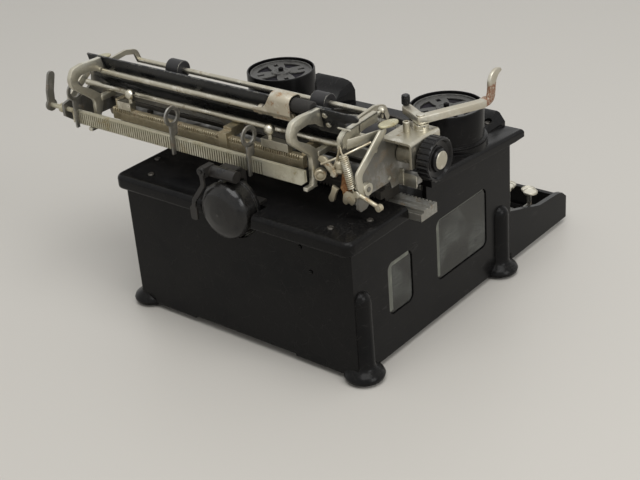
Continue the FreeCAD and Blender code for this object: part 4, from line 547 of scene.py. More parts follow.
class Workshop:
    """Keeps the finished materials and gives them to pieces."""

    def __init__(self) -> None:
        """Starts with the shared effects and no materials."""
        self.kit = EffectKit()
        self.made: dict[str, bpy.types.Material] = {}
        self.softener = self.edge_softener()

    def material(self, finish: Finish) -> bpy.types.Material:
        """Gives the material of a finish, built once.

        Args:
            finish: The finish.

        Returns:
            Its material.
        """
        if finish.name not in self.made:
            self.made[finish.name] = finish.make(self.kit)
        return self.made[finish.name]

    @staticmethod
    def edge_softener() -> bpy.types.NodeTree:
        """Builds the modifier that joins loose triangles and shades gentle bends smoothly.

        Returns:
            The modifier's tree.
        """
        tree = bpy.data.node_groups.new("smooth_gentle_bends", "GeometryNodeTree")
        tree.interface.new_socket("Mesh", in_out="INPUT", socket_type="NodeSocketGeometry")
        tree.interface.new_socket("Mesh", in_out="OUTPUT", socket_type="NodeSocketGeometry")
        start, end = tree.nodes.new("NodeGroupInput"), tree.nodes.new("NodeGroupOutput")
        merge = tree.nodes.new("GeometryNodeMergeByDistance")
        merge.inputs["Distance"].default_value = JOIN_WITHIN
        angle = tree.nodes.new("GeometryNodeInputMeshEdgeAngle")
        gentle = tree.nodes.new("FunctionNodeCompare")
        gentle.operation = "LESS_EQUAL"
        gentle.inputs[1].default_value = GENTLE_BEND
        faces = tree.nodes.new("GeometryNodeSetShadeSmooth")
        edges = tree.nodes.new("GeometryNodeSetShadeSmooth")
        edges.domain = "EDGE"
        link = tree.links.new
        link(start.outputs[0], merge.inputs[0])
        link(merge.outputs[0], faces.inputs[0])
        link(faces.outputs[0], edges.inputs[0])
        link(angle.outputs[0], gentle.inputs[0])
        link(gentle.outputs[0], edges.inputs["Shade Smooth"])
        link(edges.outputs[0], end.inputs[0])
        return tree

    def smooth(self, piece: bpy.types.Object) -> None:
        """Adds the smooth shading of gentle bends to a piece."""
        modifier = piece.modifiers.new("gentle_bends", "NODES")
        modifier.node_group = self.softener

    def paint(self, piece: bpy.types.Object, material: bpy.types.Material) -> None:
        """Gives a piece one material.

        Args:
            piece: The piece.
            material: Its material.
        """
        if piece.material_slots:
            for slot in piece.material_slots:
                slot.link = "OBJECT"
                slot.material = material
        else:
            piece.data.materials.append(material)

    def dress_nodes(self) -> None:
        """Gives every construction node its finish."""
        for name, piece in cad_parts.items():
            if name == "window_panes":
                material = GlassPanes().make(self.kit)
            else:
                material = self.material(NODE_FINISH[name])
            self.paint(piece, material)
            self.smooth(piece)
            LOG.info("dressed %s in %s", name, material.name)


# ------------------------------------------------------------------ new pieces


class Across(Enum):
    """The direction that a flat part's thickness runs in."""

    X = 0
    Y = 1
    Z = 2


def outward(part: bmesh.types.BMesh) -> None:
    """Turns every face of a closed part outwards."""
    bmesh.ops.recalc_face_normals(part, faces=part.faces)


def close_ends(part: bmesh.types.BMesh) -> None:
    """Fills the open ends of a part and turns its faces outwards."""
    bmesh.ops.holes_fill(part, edges=[edge for edge in part.edges if edge.is_boundary])
    outward(part)


def break_edges(part: bmesh.types.BMesh, geom: list, offset: float, segments: int = 2,
                affect: str = "EDGES", clamp: bool = False) -> None:
    """Rounds edges or corners by an offset in millimetres.

    Args:
        part: The part.
        geom: Its edges or corners to round.
        offset: How far the rounding reaches.
        segments: How many flats it has.
        affect: Whether edges or corners are rounded.
        clamp: Whether the rounding stops where it would overlap.
    """
    bmesh.ops.bevel(part, geom=geom, offset=offset * MM, offset_type="OFFSET", segments=segments, profile=0.5,
                    affect=affect, clamp_overlap=clamp, material=-1)


def spun(profile: Profile | Outline, steps: int, ring: bool = False) -> bmesh.types.BMesh:
    """Turns a profile of radius and height once about the Z axis.

    Args:
        profile: The profile's corners in millimetres.
        steps: How many flats go round.
        ring: Whether the profile is closed and stays off the axis.

    Returns:
        The turned part, with its seam closed.
    """
    part = bmesh.new()
    corners = [part.verts.new((radius * MM, 0.0, height * MM)) for radius, height in profile]
    pairs = list(zip(corners, corners[1:])) + ([(corners[-1], corners[0])] if ring else [])
    lines = [part.edges.new(pair) for pair in pairs]
    bmesh.ops.spin(part, geom=corners + lines, cent=(0, 0, 0), axis=(0, 0, 1), angle=math.tau, steps=steps,
                   use_merge=True)
    bmesh.ops.remove_doubles(part, verts=part.verts, dist=MERGE)
    return part


class Mould:
    """Shapes one piece out of turned, flat and bent parts."""

    corner_flats: int = 5
    coil_flats: int = 14
    wire_sides: int = 7

    def __init__(self) -> None:
        """Starts with an empty piece."""
        self.mesh = bmesh.new()

    def add(self, part: bmesh.types.BMesh) -> None:
        """Adds a finished part to the piece and lets the part go.

        Args:
            part: The part, in its place.
        """
        data = bpy.data.meshes.new("part")
        part.to_mesh(data)
        part.free()
        self.mesh.from_mesh(data)
        bpy.data.meshes.remove(data)

    def seat(self, part: bmesh.types.BMesh, centre: Place, axis: Place = (0, 0, 1)) -> None:
        """Turns a part from the Z axis to its own and moves it to its place.

        Args:
            part: The part, made about the Z axis.
            centre: The machine point that it moves to.
            axis: Where its Z axis turns to.
        """
        turn = Vector((0, 0, 1)).rotation_difference(Vector(axis)).to_matrix().to_4x4()
        bmesh.ops.transform(part, matrix=Matrix.Translation(spot(*centre)) @ turn, verts=part.verts)
        self.add(part)

    def turn(self, profile: Profile | Outline, centre: Place, axis: Place = (0, 0, 1), steps: int = 32,
             ring: bool = False) -> None:
        """Turns a profile of radius and height about an axis.

        Args:
            profile: The profile's corners in millimetres.
            centre: Where height 0 of the axis lies, as a machine point.
            axis: The axis, away from height 0.
            steps: How many flats go round.
            ring: Whether the profile is closed and stays off the axis.
        """
        part = spun(profile, steps, ring)
        outward(part)
        self.seat(part, centre, axis)

    def block(self, low: Place, high: Place, round_off: float) -> None:
        """Adds a block between two machine points, with its edges rounded.

        Args:
            low: The lowest corner.
            high: The highest corner.
            round_off: How far the edges are rounded.
        """
        part = bmesh.new()
        bmesh.ops.create_cube(part, size=1.0)
        start, end = spot(*low), spot(*high)
        bmesh.ops.transform(part, matrix=Matrix.Translation((start + end) / 2)
                            @ Matrix.Diagonal(end - start).to_4x4(), verts=part.verts)
        break_edges(part, part.edges[:], round_off)
        self.add(part)

    def flat(self, outline: Outline | Profile, start: float, thick: float, across: Across = Across.X,
             rounds: dict[float, tuple[int, ...]] | None = None, edge: float = 0.0) -> None:
        """Cuts a flat part from sheet or bar.

        Args:
            outline: The corners in the sheet's plane, in the order of the two other machine axes.
            start: Where the sheet begins, along the direction of its thickness.
            thick: The thickness, towards higher values.
            across: The direction of the thickness.
            rounds: Corner radii, each with the numbers of its corners.
            edge: How far the rims of both faces are broken.
        """
        part = bmesh.new()
        places = [list(corner) for corner in outline]
        for place in places:
            place.insert(across.value, start)
        corners = [part.verts.new(spot(*place)) for place in places]
        part.faces.new(corners)
        for radius, numbers in (rounds or {}).items():
            break_edges(part, [corners[number] for number in numbers], radius, self.corner_flats, "VERTICES")
        made = bmesh.ops.extrude_face_region(part, geom=part.faces[:])
        moved = [item for item in made["geom"] if isinstance(item, bmesh.types.BMVert)]
        step = Vector((0.0, 0.0, 0.0))
        step[across.value] = thick * MM
        bmesh.ops.translate(part, vec=step, verts=moved)
        outward(part)
        if edge:
            faces = [face for face in part.faces if abs(face.normal[across.value]) > 0.99]
            rims = list(dict.fromkeys(line for face in faces for line in face.edges))
            break_edges(part, rims, edge, clamp=True)
        self.add(part)

    def coil(self, start: Place, end: Place, radius: float, gauge: float, turns: int) -> None:
        """Winds a round wire between two machine points.

        Args:
            start: Where the coil begins.
            end: Where it ends.
            radius: From the axis to the middle of the wire.
            gauge: The wire's radius.
            turns: How often it goes round.
        """
        run = Vector(end) - Vector(start)
        part = bmesh.new()
        place = Matrix.Translation((radius * MM, 0, 0)) @ Matrix.Rotation(math.pi / 2, 4, "X")
        bmesh.ops.create_circle(part, cap_ends=False, segments=self.wire_sides, radius=gauge * MM,
                                matrix=place)
        steps = turns * self.coil_flats
        bmesh.ops.spin(part, geom=part.verts[:] + part.edges[:], cent=(0, 0, 0), axis=(0, 0, 1),
                       dvec=(0, 0, run.length * MM / steps), angle=math.tau * turns, steps=steps,
                       use_merge=False)
        close_ends(part)
        self.seat(part, start, tuple(run.normalized()))

    def pad(self, centre: Place, reach: tuple[float, float], thick: float, tilt: float) -> None:
        """Adds an oval pad with a rounded rim, tilted about X by a few degrees.

        Args:
            centre: The middle of the pad.
            reach: Half the size along X and along Y.
            thick: The thickness.
            tilt: The tilt in degrees.
        """
        part = bmesh.new()
        bmesh.ops.create_cone(part, cap_ends=True, segments=36, radius1=1.0, radius2=1.0, depth=thick * MM)
        bmesh.ops.scale(part, vec=(reach[0] * MM, reach[1] * MM, 1), verts=part.verts)
        rims = [line for line in part.edges if abs(line.verts[0].co.z - line.verts[1].co.z) < 1e-6]
        break_edges(part, rims, thick * 0.4, 3)
        bmesh.ops.rotate(part, cent=(0, 0, 0), matrix=Matrix.Rotation(math.radians(tilt), 3, "X"),
                         verts=part.verts)
        self.seat(part, centre)

    def slotted_screw(self, centre: Place, axis: Place, radius: float, height: float,
                      slot: float = 0.9) -> None:
        """Adds a round screw head with a sawn slot.

        Args:
            centre: Where the head sits.
            axis: Where the head points.
            radius: The head's radius.
            height: The head's height.
            slot: The width of the slot.
        """
        under = height * 0.45
        self.turn([(0, 0), (radius, 0), (radius, under), (0, under)], centre, axis, 28)
        for side in (1, -1):
            part = bmesh.new()
            bmesh.ops.create_cone(part, cap_ends=True, segments=28, radius1=radius * MM,
                                  radius2=radius * 0.72 * MM, depth=height * 0.55 * MM)
            bmesh.ops.translate(part, vec=(0, 0, height * 0.725 * MM), verts=part.verts)
            bmesh.ops.bisect_plane(part, geom=part.verts[:] + part.edges[:] + part.faces[:],
                                   plane_co=(0, side * slot / 2 * MM, 0), plane_no=(0, side, 0),
                                   clear_inner=True)
            close_ends(part)
            self.seat(part, centre, axis)

    def wire(self, stops: tuple | list, radius: float, sides: int = 10) -> None:
        """Adds a round wire or pin through machine points, mitred at its bends.

        Args:
            stops: The points, from end to end.
            radius: The wire's radius.
            sides: How many flats go round it.
        """
        path = [spot(*stop) for stop in stops]
        part = bmesh.new()
        ahead = (path[1] - path[0]).normalized()
        turn = Vector((0, 0, 1)).rotation_difference(ahead).to_matrix().to_4x4()
        bmesh.ops.create_circle(part, cap_ends=True, segments=sides, radius=radius * MM,
                                matrix=Matrix.Translation(path[0]) @ turn)
        face = part.faces[:][0]
        if face.normal.dot(ahead) > 0:
            bmesh.ops.reverse_faces(part, faces=[face])
        for before, here, after in zip(path, path[1:], path[2:] + [None]):
            made = bmesh.ops.extrude_face_region(part, geom=[face])
            corners = [item for item in made["geom"] if isinstance(item, bmesh.types.BMVert)]
            face = next(item for item in made["geom"] if isinstance(item, bmesh.types.BMFace))
            bmesh.ops.translate(part, vec=here - before, verts=corners)
            if after is not None:
                old, new = (here - before).normalized(), (after - here).normalized()
                half = old.rotation_difference((old + new).normalized()).to_matrix()
                bmesh.ops.rotate(part, cent=here, matrix=half, verts=corners)
        outward(part)
        self.add(part)

    def hand_over(self, name: str, body: str, shop: Workshop, finish: Finish, slot: str,
                  replaces: str | None = None) -> bpy.types.Object:
        """Makes the piece an object that rides on a body.

        Args:
            name: The piece's name.
            body: The body it rides on.
            shop: Where its finish comes from.
            finish: The finish.
            slot: A material slot's name; not used.
            replaces: The construction node that it stands for, if any.

        Returns:
            The finished object.
        """
        data = bpy.data.meshes.new(name)
        self.mesh.to_mesh(data)
        self.mesh.free()
        piece = bpy.data.objects.new(name, data)
        bpy.context.scene.collection.objects.link(piece)
        shop.paint(piece, shop.material(finish))
        shop.smooth(piece)
        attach(piece, body)
        if replaces:
            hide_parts(replaces)
        LOG.info("made %s on %s in %s", name, body, finish.name)
        return piece


@dataclass
class SubAssembly:
    """A group of pieces that one workshop finishes."""

    shop: Workshop

    def build(self) -> None:
        """Makes every piece of the group."""


@dataclass
class KeyTops(SubAssembly):
    """White discs in nickel rings, on every key of the four rows and the side keys."""

    pitch: float = 19.0
    first_row: float = 262.0
    row_step: float = 19.0
    first_top: float = 69.0
    row_drop: float = 8.5
    starts: tuple[float, ...] = (-4.5, -5.0, -4.75, -4.25)
    counts: tuple[int, ...] = (10, 11, 11, 10)
    sample: tuple[int, int] = (1, 5)
    figures: str = "23456789"
    figure_size: float = 7.5
    figure_thick: float = 0.05
    figure_height: float = 0.17
    side_keys: tuple[tuple[str, float, int], ...] = (
        ("shift_lock_key", -116.5, 2), ("margin_release_key", -109.5, 0), ("tab_key", 117.0, 1),
        ("backspace_key", 103.0, 0), ("shift_keys", -103.0, 3), ("shift_keys", 110.0, 3))
    disc: Profile = ((0, 0.16), (3.4, 0.1), (5.8, -0.2), (5.8, -0.9), (0, -0.9))
    ring: Profile = ((5.7, -0.9), (5.7, -0.1), (6.05, 0.22), (6.65, 0.22), (7.15, -0.2), (7.15, -1.7),
                     (6.9, -1.9), (5.7, -1.9))

    def places(self) -> dict[str, list[Place]]:
        """Gives the middle of every key top, by body.

        Returns:
            The places, by body.
        """
        found: dict[str, list[Place]] = {}
        for row, count in enumerate(self.counts):
            for index in range(count):
                body = "sample_key" if (row, index) == self.sample else f"key_row_{row + 1}"
                x = (self.starts[row] + index) * self.pitch
                found.setdefault(body, []).append(self.middle(x, row))
        for body, x, row in self.side_keys:
            found.setdefault(body, []).append(self.middle(x, row))
        return found

    def middle(self, x: float, row: int) -> Place:
        """Gives the middle of a key top in a row."""
        return (x, -(self.first_row + self.row_step * row), self.first_top - self.row_drop * row)

    def build(self) -> None:
        """Makes the discs and the rings."""
        for body, middles in self.places().items():
            discs, rings = Mould(), Mould()
            for middle in middles:
                discs.turn(self.disc, middle, steps=20)
                rings.turn(self.ring, middle, steps=20, ring=True)
            discs.hand_over(f"{body}_discs", body, self.shop, IVORY, "nickel")
            rings.hand_over(f"{body}_rings", body, self.shop, NICKEL, "nickel")
        self.numerals()

    def numerals(self) -> None:
        """Makes the plain figures on the top row."""
        figures = Mould()
        for index, figure in enumerate(self.figures):
            text = bpy.data.curves.new("figure", "FONT")
            text.body, text.size, text.extrude = figure, self.figure_size * MM, self.figure_thick * MM
            text.align_x, text.align_y = "CENTER", "CENTER"
            carrier = bpy.data.objects.new("figure", text)
            data = bpy.data.meshes.new_from_object(carrier)
            part = bmesh.new()
            part.from_mesh(data)
            bmesh.ops.remove_doubles(part, verts=part.verts, dist=MERGE)
            outward(part)
            x, y, z = self.middle((self.starts[0] + index) * self.pitch, 0)
            figures.seat(part, (x, y, z + self.figure_height))
            bpy.data.objects.remove(carrier)
            bpy.data.meshes.remove(data)
            bpy.data.curves.remove(text)
        figures.hand_over("key_figures", "key_row_1", self.shop, ENAMEL, "enamel")


@dataclass
class RibbonSpools(SubAssembly):
    """The two ribbon spools: pierced top flange, hub, wound ribbon and lower flange."""

    side: float = 96.5
    depth: float = 188.0
    top: float = 178.0
    height: float = 17.0
    rings: tuple[float, ...] = (8.6, 10.2, 13.5, 17.0, 20.5, 23.8, 25.6, 27.6, 29.2, 30.4)
    flats: int = 64
    thick: float = 1.5
    arms: int = 4
    neck_share: float = 0.10
    arm_share: float = 25.0 / 45.0
    flare: float = 0.8
    start_angle: float = 10.0
    hub: Profile = ((2.6, 0), (6.2, 0), (6.2, 14.0), (9.4, 14.0), (9.4, 16.6), (8.6, 17.0), (7.3, 17.0),
                    (6.6, 16.4), (5.2, 16.4), (4.6, 17.0), (2.6, 17.0))
    foot: Profile = ((2.6, 0), (30.4, 0), (30.4, 1.1), (2.6, 1.1))
    rim: Profile = ((28.9, 15.5), (28.9, 16.8), (29.3, 17.0), (30.1, 17.0), (30.4, 16.7), (30.4, 15.5))
    roll: Profile = ((6.2, 1.1), (26.0, 1.1), (26.4, 1.6), (26.4, 13.0), (26.0, 13.5), (24.5, 13.3),
                     (22.0, 13.6), (18.0, 13.3), (14.0, 13.6), (10.0, 13.4), (6.2, 13.5))

    def pierce(self, part: bmesh.types.BMesh) -> None:
        """Opens the flange between two arms, and a hole in each arm.

        Args:
            part: The flange.
        """
        sector, quarter = math.tau / self.arms, self.flats // self.arms // 4
        gone = []
        for face in part.faces:
            middle = face.calc_center_median()
            share = (math.atan2(middle.y, middle.x) / sector + 0.5) % 1.0 * self.flats / self.arms
            radius = middle.length / MM
            opening = quarter < share < 3 * quarter and self.rings[0] < radius < self.rings[5]
            hole = (share < 1 or share > 4 * quarter - 1) and self.rings[3] < radius < self.rings[5]
            if opening or hole:
                gone.append(face)
        bmesh.ops.delete(part, geom=gone, context="FACES")

    def flare_arms(self, part: bmesh.types.BMesh) -> None:
        """Widens the arms from the hub outwards and turns the flange to its start.

        Args:
            part: The flange.
        """
        sector = math.tau / self.arms
        for corner in part.verts:
            radius = corner.co.length / MM
            angle = math.atan2(corner.co.y, corner.co.x)
            turns = round(angle / sector)
            off = (angle - turns * sector) / (sector / 2)
            reach = min(max((radius - self.rings[0]) / (self.rings[5] - self.rings[0]), 0.0), 1.0)
            half = self.neck_share + (self.arm_share - self.neck_share) * reach ** self.flare
            size = abs(off)
            bent = size / 0.5 * half if size < 0.5 else half + (size - 0.5) / 0.5 * (1 - half)
            new = turns * sector + math.copysign(bent, off) * sector / 2 + math.radians(self.start_angle)
            corner.co = Vector((math.cos(new), math.sin(new), 0)) * radius * MM

    def flange(self, centre: Place) -> bmesh.types.BMesh:
        """Shapes the pierced flange.

        Args:
            centre: The middle of the flange's underside.

        Returns:
            The flange, in its place.
        """
        part = spun([(radius, 0.0) for radius in self.rings], self.flats)
        self.pierce(part)
        self.flare_arms(part)
        outward(part)
        if next(iter(part.faces)).normal.z < 0:
            bmesh.ops.reverse_faces(part, faces=part.faces)
        bmesh.ops.solidify(part, geom=part.faces[:], thickness=self.thick * MM)
        outward(part)
        bmesh.ops.translate(part, vec=spot(*centre), verts=part.verts)
        return part

    def build(self) -> None:
        """Makes both spools with their ribbon."""
        for name, side in (("left", -1), ("right", 1)):
            body = f"ribbon_spool_{name}"
            x, y = side * self.side, -self.depth
            base = (x, y, self.top - self.height)
            cast, roll = Mould(), Mould()
            cast.add(self.flange((x, y, self.top - self.thick)))
            for profile, steps in ((self.hub, 40), (self.foot, 48), (self.rim, 64)):
                cast.turn(profile, base, steps=steps, ring=True)
            cast.hand_over(f"{body}_casting", body, self.shop, SPOOL_GREY, "steel", replaces=body)
            roll.turn(self.roll, base, steps=56, ring=True)
            roll.hand_over(f"{body}_ribbon", body, self.shop, RIBBON, "dark_steel")


@dataclass
class DeckFasteners(SubAssembly):
    """Slotted screws on the decks and the rear panel."""

    radius: float = 3.2
    height: float = 1.2
    rear_top: float = 138.0
    rear: tuple[tuple[float, float], ...] = ((103, -8.5), (-103, -8.5), (122, -36), (-122, -36))
    front: tuple[tuple[float, float], ...] = ((106, -240), (-106, -240))
    panel: tuple[tuple[float, float], ...] = ((-75.7, 117.1), (-85.3, 96.3))
    panel_screw: tuple[float, float, float] = (2.0, 0.8, 0.6)

    def build(self) -> None:
        """Makes the screws."""
        front_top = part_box("deck_screws")[1][2] / MM - self.height
        heads, small = Mould(), Mould()
        for places, top in ((self.rear, self.rear_top), (self.front, front_top)):
            for x, y in places:
                heads.slotted_screw((x, y, top), (0, 0, 1), self.radius, self.height)
        heads.hand_over("deck_screw_heads", "body", self.shop, DARK_STEEL, "dark_steel",
                        replaces="deck_screws")
        for x, z in self.panel:
            small.slotted_screw((x, 0, z), (0, 1, 0), *self.panel_screw)
        small.hand_over("panel_screws", "body", self.shop, ENAMEL, "enamel")


@dataclass
class WindowRimHighlights(SubAssembly):
    """Painted highlight: pale strips along the rear and the top edge of the glass panes, where light catches
    the bevels.
    """

    plane: float = 127.5
    thick: float = 0.5
    gap: float = 0.3
    run_out: float = 4.0
    windows: tuple[tuple[float, float, float, float, float, float], ...] = (
        (-82.4, -47.3, 42.3, 92.7, 6.0, 4.2), (-200.3, -119.7, 41.1, 101.2, 5.0, 1.4))

    def build(self) -> None:
        """Makes the four painted highlight strips on the bevels."""
        rims = Mould()
        gap, run_out = self.gap, self.run_out
        for start in (-self.plane - self.thick, self.plane):
            for near, far, low, high, wide, tall in self.windows:
                foot, end = low + run_out, near + run_out
                rims.flat([(far - gap, foot), (far - gap, high - gap), (end, high - gap), (end, high - tall),
                           (far - wide, high - tall), (far - wide, foot)],
                          start, self.thick, Across.X, {6.0: (1,), 2.0: (4,), 0.6: (2, 3)})
        rims.hand_over("window_rim_highlights", "body", self.shop, GLASS_EDGE_HIGHLIGHT, "glass")


@dataclass
class CarriageTrim(SubAssembly):
    """Small parts on the carriage: knob discs, posts, pins, screws and bail rollers."""

    knob_axis: tuple[float, float] = (-88.2, 179.0)
    disc: Profile = ((0, 0.5), (6.32, 0.42), (7.4, 0.2), (7.9, -0.5), (7.9, -1.4), (0, -1.4))
    disc_rise: float = 0.35
    bail: tuple[float, float] = (-107.0, 197.0)
    roller_places: tuple[float, ...] = (-22.0, 155.0)
    roller: Profile = ((0, -8.5), (3.6, -8.5), (8.1, -8.5), (8.9, -7.7), (8.9, 7.7), (8.1, 8.5), (3.6, 8.5),
                       (0, 8.5))
    eye_pin: Profile = ((1.5, 0), (1.5, 3.4), (2.4, 4.0), (3.1, 5.4), (3.3, 6.8), (2.9, 8.2), (1.9, 9.4),
                        (0, 9.8))
    eye_pin_place: Place = (-101.0, -87.0, 205.0)
    open_post: Profile = ((0, 0), (3.0, 0), (3.0, 8.6), (2.6, 9.1), (1.9, 9.1), (1.9, 7.0), (0, 7.0))
    open_post_place: Place = (-126.0, -86.5, 198.0)
    collar: Profile = ((3.7, 0), (5.0, 0), (5.0, 0.8), (4.5, 1.2), (4.5, 2.8), (5.0, 3.2), (5.0, 3.8),
                       (3.7, 3.8))
    collar_place: Place = (-131.5, -99.0, 198.05)
    table_screws: tuple[Place, ...] = ((-79.3, -40.05, 220.0), (-81.3, -41.9, 211.5), (190.3, -40.05, 220.0),
                                        (192.3, -41.9, 211.5))
    table_lean: Place = (0, 0.97, -0.243)
    table_screw: tuple[float, float] = (2.7, 1.3)
    plate_face: float = -119.0
    plate_screws: tuple[tuple[float, float], ...] = ((-53.2, 192.5), (-69.0, 161.5), (-84.0, 190.0))
    plate_screw: tuple[float, float, float] = (2.0, 0.7, 0.6)

    def build(self) -> None:
        """Makes every small part."""
        self.knob_discs()
        self.rollers()
        self.posts()
        self.screws()

    def knob_discs(self) -> None:
        """Makes the nickel discs on the platen knobs."""
        discs = Mould()
        for node, side in (("knob_left", -1), ("knob_right", 1)):
            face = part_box(node)[0 if side < 0 else 1][0] / MM - ORIGIN.x
            discs.turn(self.disc, (face + side * self.disc_rise, *self.knob_axis), (side, 0, 0), 40)
        discs.hand_over("knob_discs", "platen_set", self.shop, NICKEL, "nickel")

    def rollers(self) -> None:
        """Makes the black rollers on the bail."""
        sleeves = Mould()
        for x in self.roller_places:
            sleeves.turn(self.roller, (x, *self.bail), (1, 0, 0), 36)
        sleeves.hand_over("bail_rollers", "paper_bail", self.shop, PLATEN_RUBBER, "platen_rubber")

    def posts(self) -> None:
        """Makes the eye pin, the open post and the collar under the return lever."""
        pins = Mould()
        pins.turn(self.eye_pin, self.eye_pin_place, steps=24)
        pins.turn(self.open_post, self.open_post_place, steps=28)
        pins.turn(self.collar, self.collar_place, ring=True)
        pins.hand_over("housing_posts", "carriage", self.shop, NICKEL, "nickel")

    def screws(self) -> None:
        """Makes the screws that hold the paper table and the end plates."""
        heads = Mould()
        for place in self.table_screws:
            heads.slotted_screw(place, self.table_lean, *self.table_screw)
        for y, z in self.plate_screws:
            heads.slotted_screw((self.plate_face, y, z), (-1, 0, 0), *self.plate_screw)
        heads.hand_over("carriage_screws", "carriage", self.shop, PALE_NICKEL, "nickel")


@dataclass
class TableFittings(SubAssembly):
    """The paper table's left wing, its two bent arms, and the clip and sleeve on its top edge."""

    wing: Profile = ((-70.0, 203.6), (-97.6, 203.6), (-99.0, 216.6), (-114.0, 220.4), (-114.0, 226.0),
                     (-70.0, 226.0))
    wing_start: float = -42.4
    wing_thick: float = 1.2
    wing_pivot: Place = (0, -41.8, 214.8)
    wing_lean: float = -math.atan2(5.5, 22.0)
    arms: tuple[float, ...] = (-73.8, 184.5)
    arm_width: float = 4.4
    arm: Profile = (
        (-38.3, 226.0), (-32.9, 226.0), (-15.2, 227.0), (-4.0, 225.6), (1.2, 217.0), (-0.1, 208.4),
        (-13.8, 197.4), (-24.3, 188.6), (-23.6, 172.0), (-23.0, 164.1), (-15.0, 164.1), (-15.0, 161.1),
        (-28.0, 161.1), (-28.6, 172.0), (-33.4, 182.0), (-34.0, 190.6), (-22.2, 200.6), (-8.4, 208.8),
        (-7.2, 213.0), (-10.2, 216.8), (-22.6, 217.6), (-33.0, 214.6), (-41.9, 208.0))
    foot: tuple[Place, Place] = ((-3, -50.0, 185.5), (3, -32.0, 190.7))
    sleeve: Profile = ((0, 0), (5.1, 0), (6.1, 1.0), (6.1, 19.4), (5.5, 20.0), (0, 20.0))
    sleeve_place: Place = (-69.0, -38.4, 224.0)
    wrap: tuple[float, float] = (-50.0, 22.0)
    hook: Profile = (
        (-34.4, 211.0), (-30.6, 216.0), (-30.2, 229.0), (-34.5, 232.6), (-43.0, 232.6), (-47.0, 229.0),
        (-47.0, 219.0), (-46.0, 219.0), (-46.0, 228.6), (-42.6, 231.5), (-35.0, 231.5), (-31.3, 228.5),
        (-31.7, 216.4), (-35.4, 211.6))
    tail: tuple[float, float] = (-28.5, 21.0)
    slope: Profile = ((-34.4, 211.0), (-30.6, 216.0), (-31.7, 216.4), (-35.4, 211.6))
    shoulder: Profile = ((-28.5, 215.6), (-8.5, 215.6), (-9.5, 217.2), (-18.5, 218.0), (-23.0, 220.4),
                         (-25.6, 224.4), (-28.5, 229.6))
    shoulder_sheet: tuple[float, float] = (-31.6, 1.2)
    blade: Profile = ((-50.0, 209.6), (-28.0, 209.6), (-28.0, 217.0), (-50.0, 217.0))
    blade_sheet: tuple[float, float] = (-36.0, 1.3)
    eye: Profile = ((2.9, 0), (4.4, 0), (4.4, 4.0), (2.9, 4.0))
    eyes: tuple[Place, ...] = ((-46.0, -38.5, 213.0), (-15.0, -38.5, 213.0))

    def build(self) -> None:
        """Makes every fitting."""
        wing = Mould()
        wing.flat(self.wing, self.wing_start, self.wing_thick, Across.Y, {3.0: (1, 3, 4), 1.5: (2, 5)}, 0.3)
        bmesh.ops.rotate(wing.mesh, cent=spot(*self.wing_pivot), verts=wing.mesh.verts,
                         matrix=Matrix.Rotation(self.wing_lean, 3, "X"))
        wing.hand_over("paper_table_wing", "carriage", self.shop, BLUED_SHEET, "enamel")
        arms, black = Mould(), Mould()
        for x in self.arms:
            arms.flat(self.arm, x - self.arm_width / 2, self.arm_width, Across.X,
                      {3.0: (1, 3, 4, 5, 7, 14, 15, 17, 18, 19), 0.8: (9,)}, 0.5)
            low, high = ((x + end[0], *end[1:]) for end in self.foot)
            arms.block(low, high, 0.6)
        arms.hand_over("table_arms", "carriage", self.shop, PALE_NICKEL, "nickel",
                       replaces="paper_table_arms")
        black.turn(self.sleeve, self.sleeve_place, (1, 0, 0))
        black.hand_over("table_edge_sleeve", "carriage", self.shop, FOOT_RUBBER, "foot_rubber")
        self.clip()

    def clip(self) -> None:
        """Makes the clip that slides along the upper rod."""
        clip = Mould()
        clip.flat(self.hook, *self.wrap, Across.X, {2.6: (2, 3, 4, 5), 1.8: (8, 9, 10, 11)}, 0.25)
        clip.flat(self.slope, *self.tail)
        clip.flat(self.shoulder, *self.shoulder_sheet, Across.Y, {0.8: (1, 2), 4.0: (3, 4, 5)}, 0.2)
        clip.flat(self.blade, *self.blade_sheet, Across.Y, edge=0.3)
        for place in self.eyes:
            clip.turn(self.eye, place, (1, 0, 0), 24, ring=True)
        clip.hand_over("paper_clip", "paper_guide", self.shop, CLIP_NICKEL, "nickel", replaces="paper_guide")


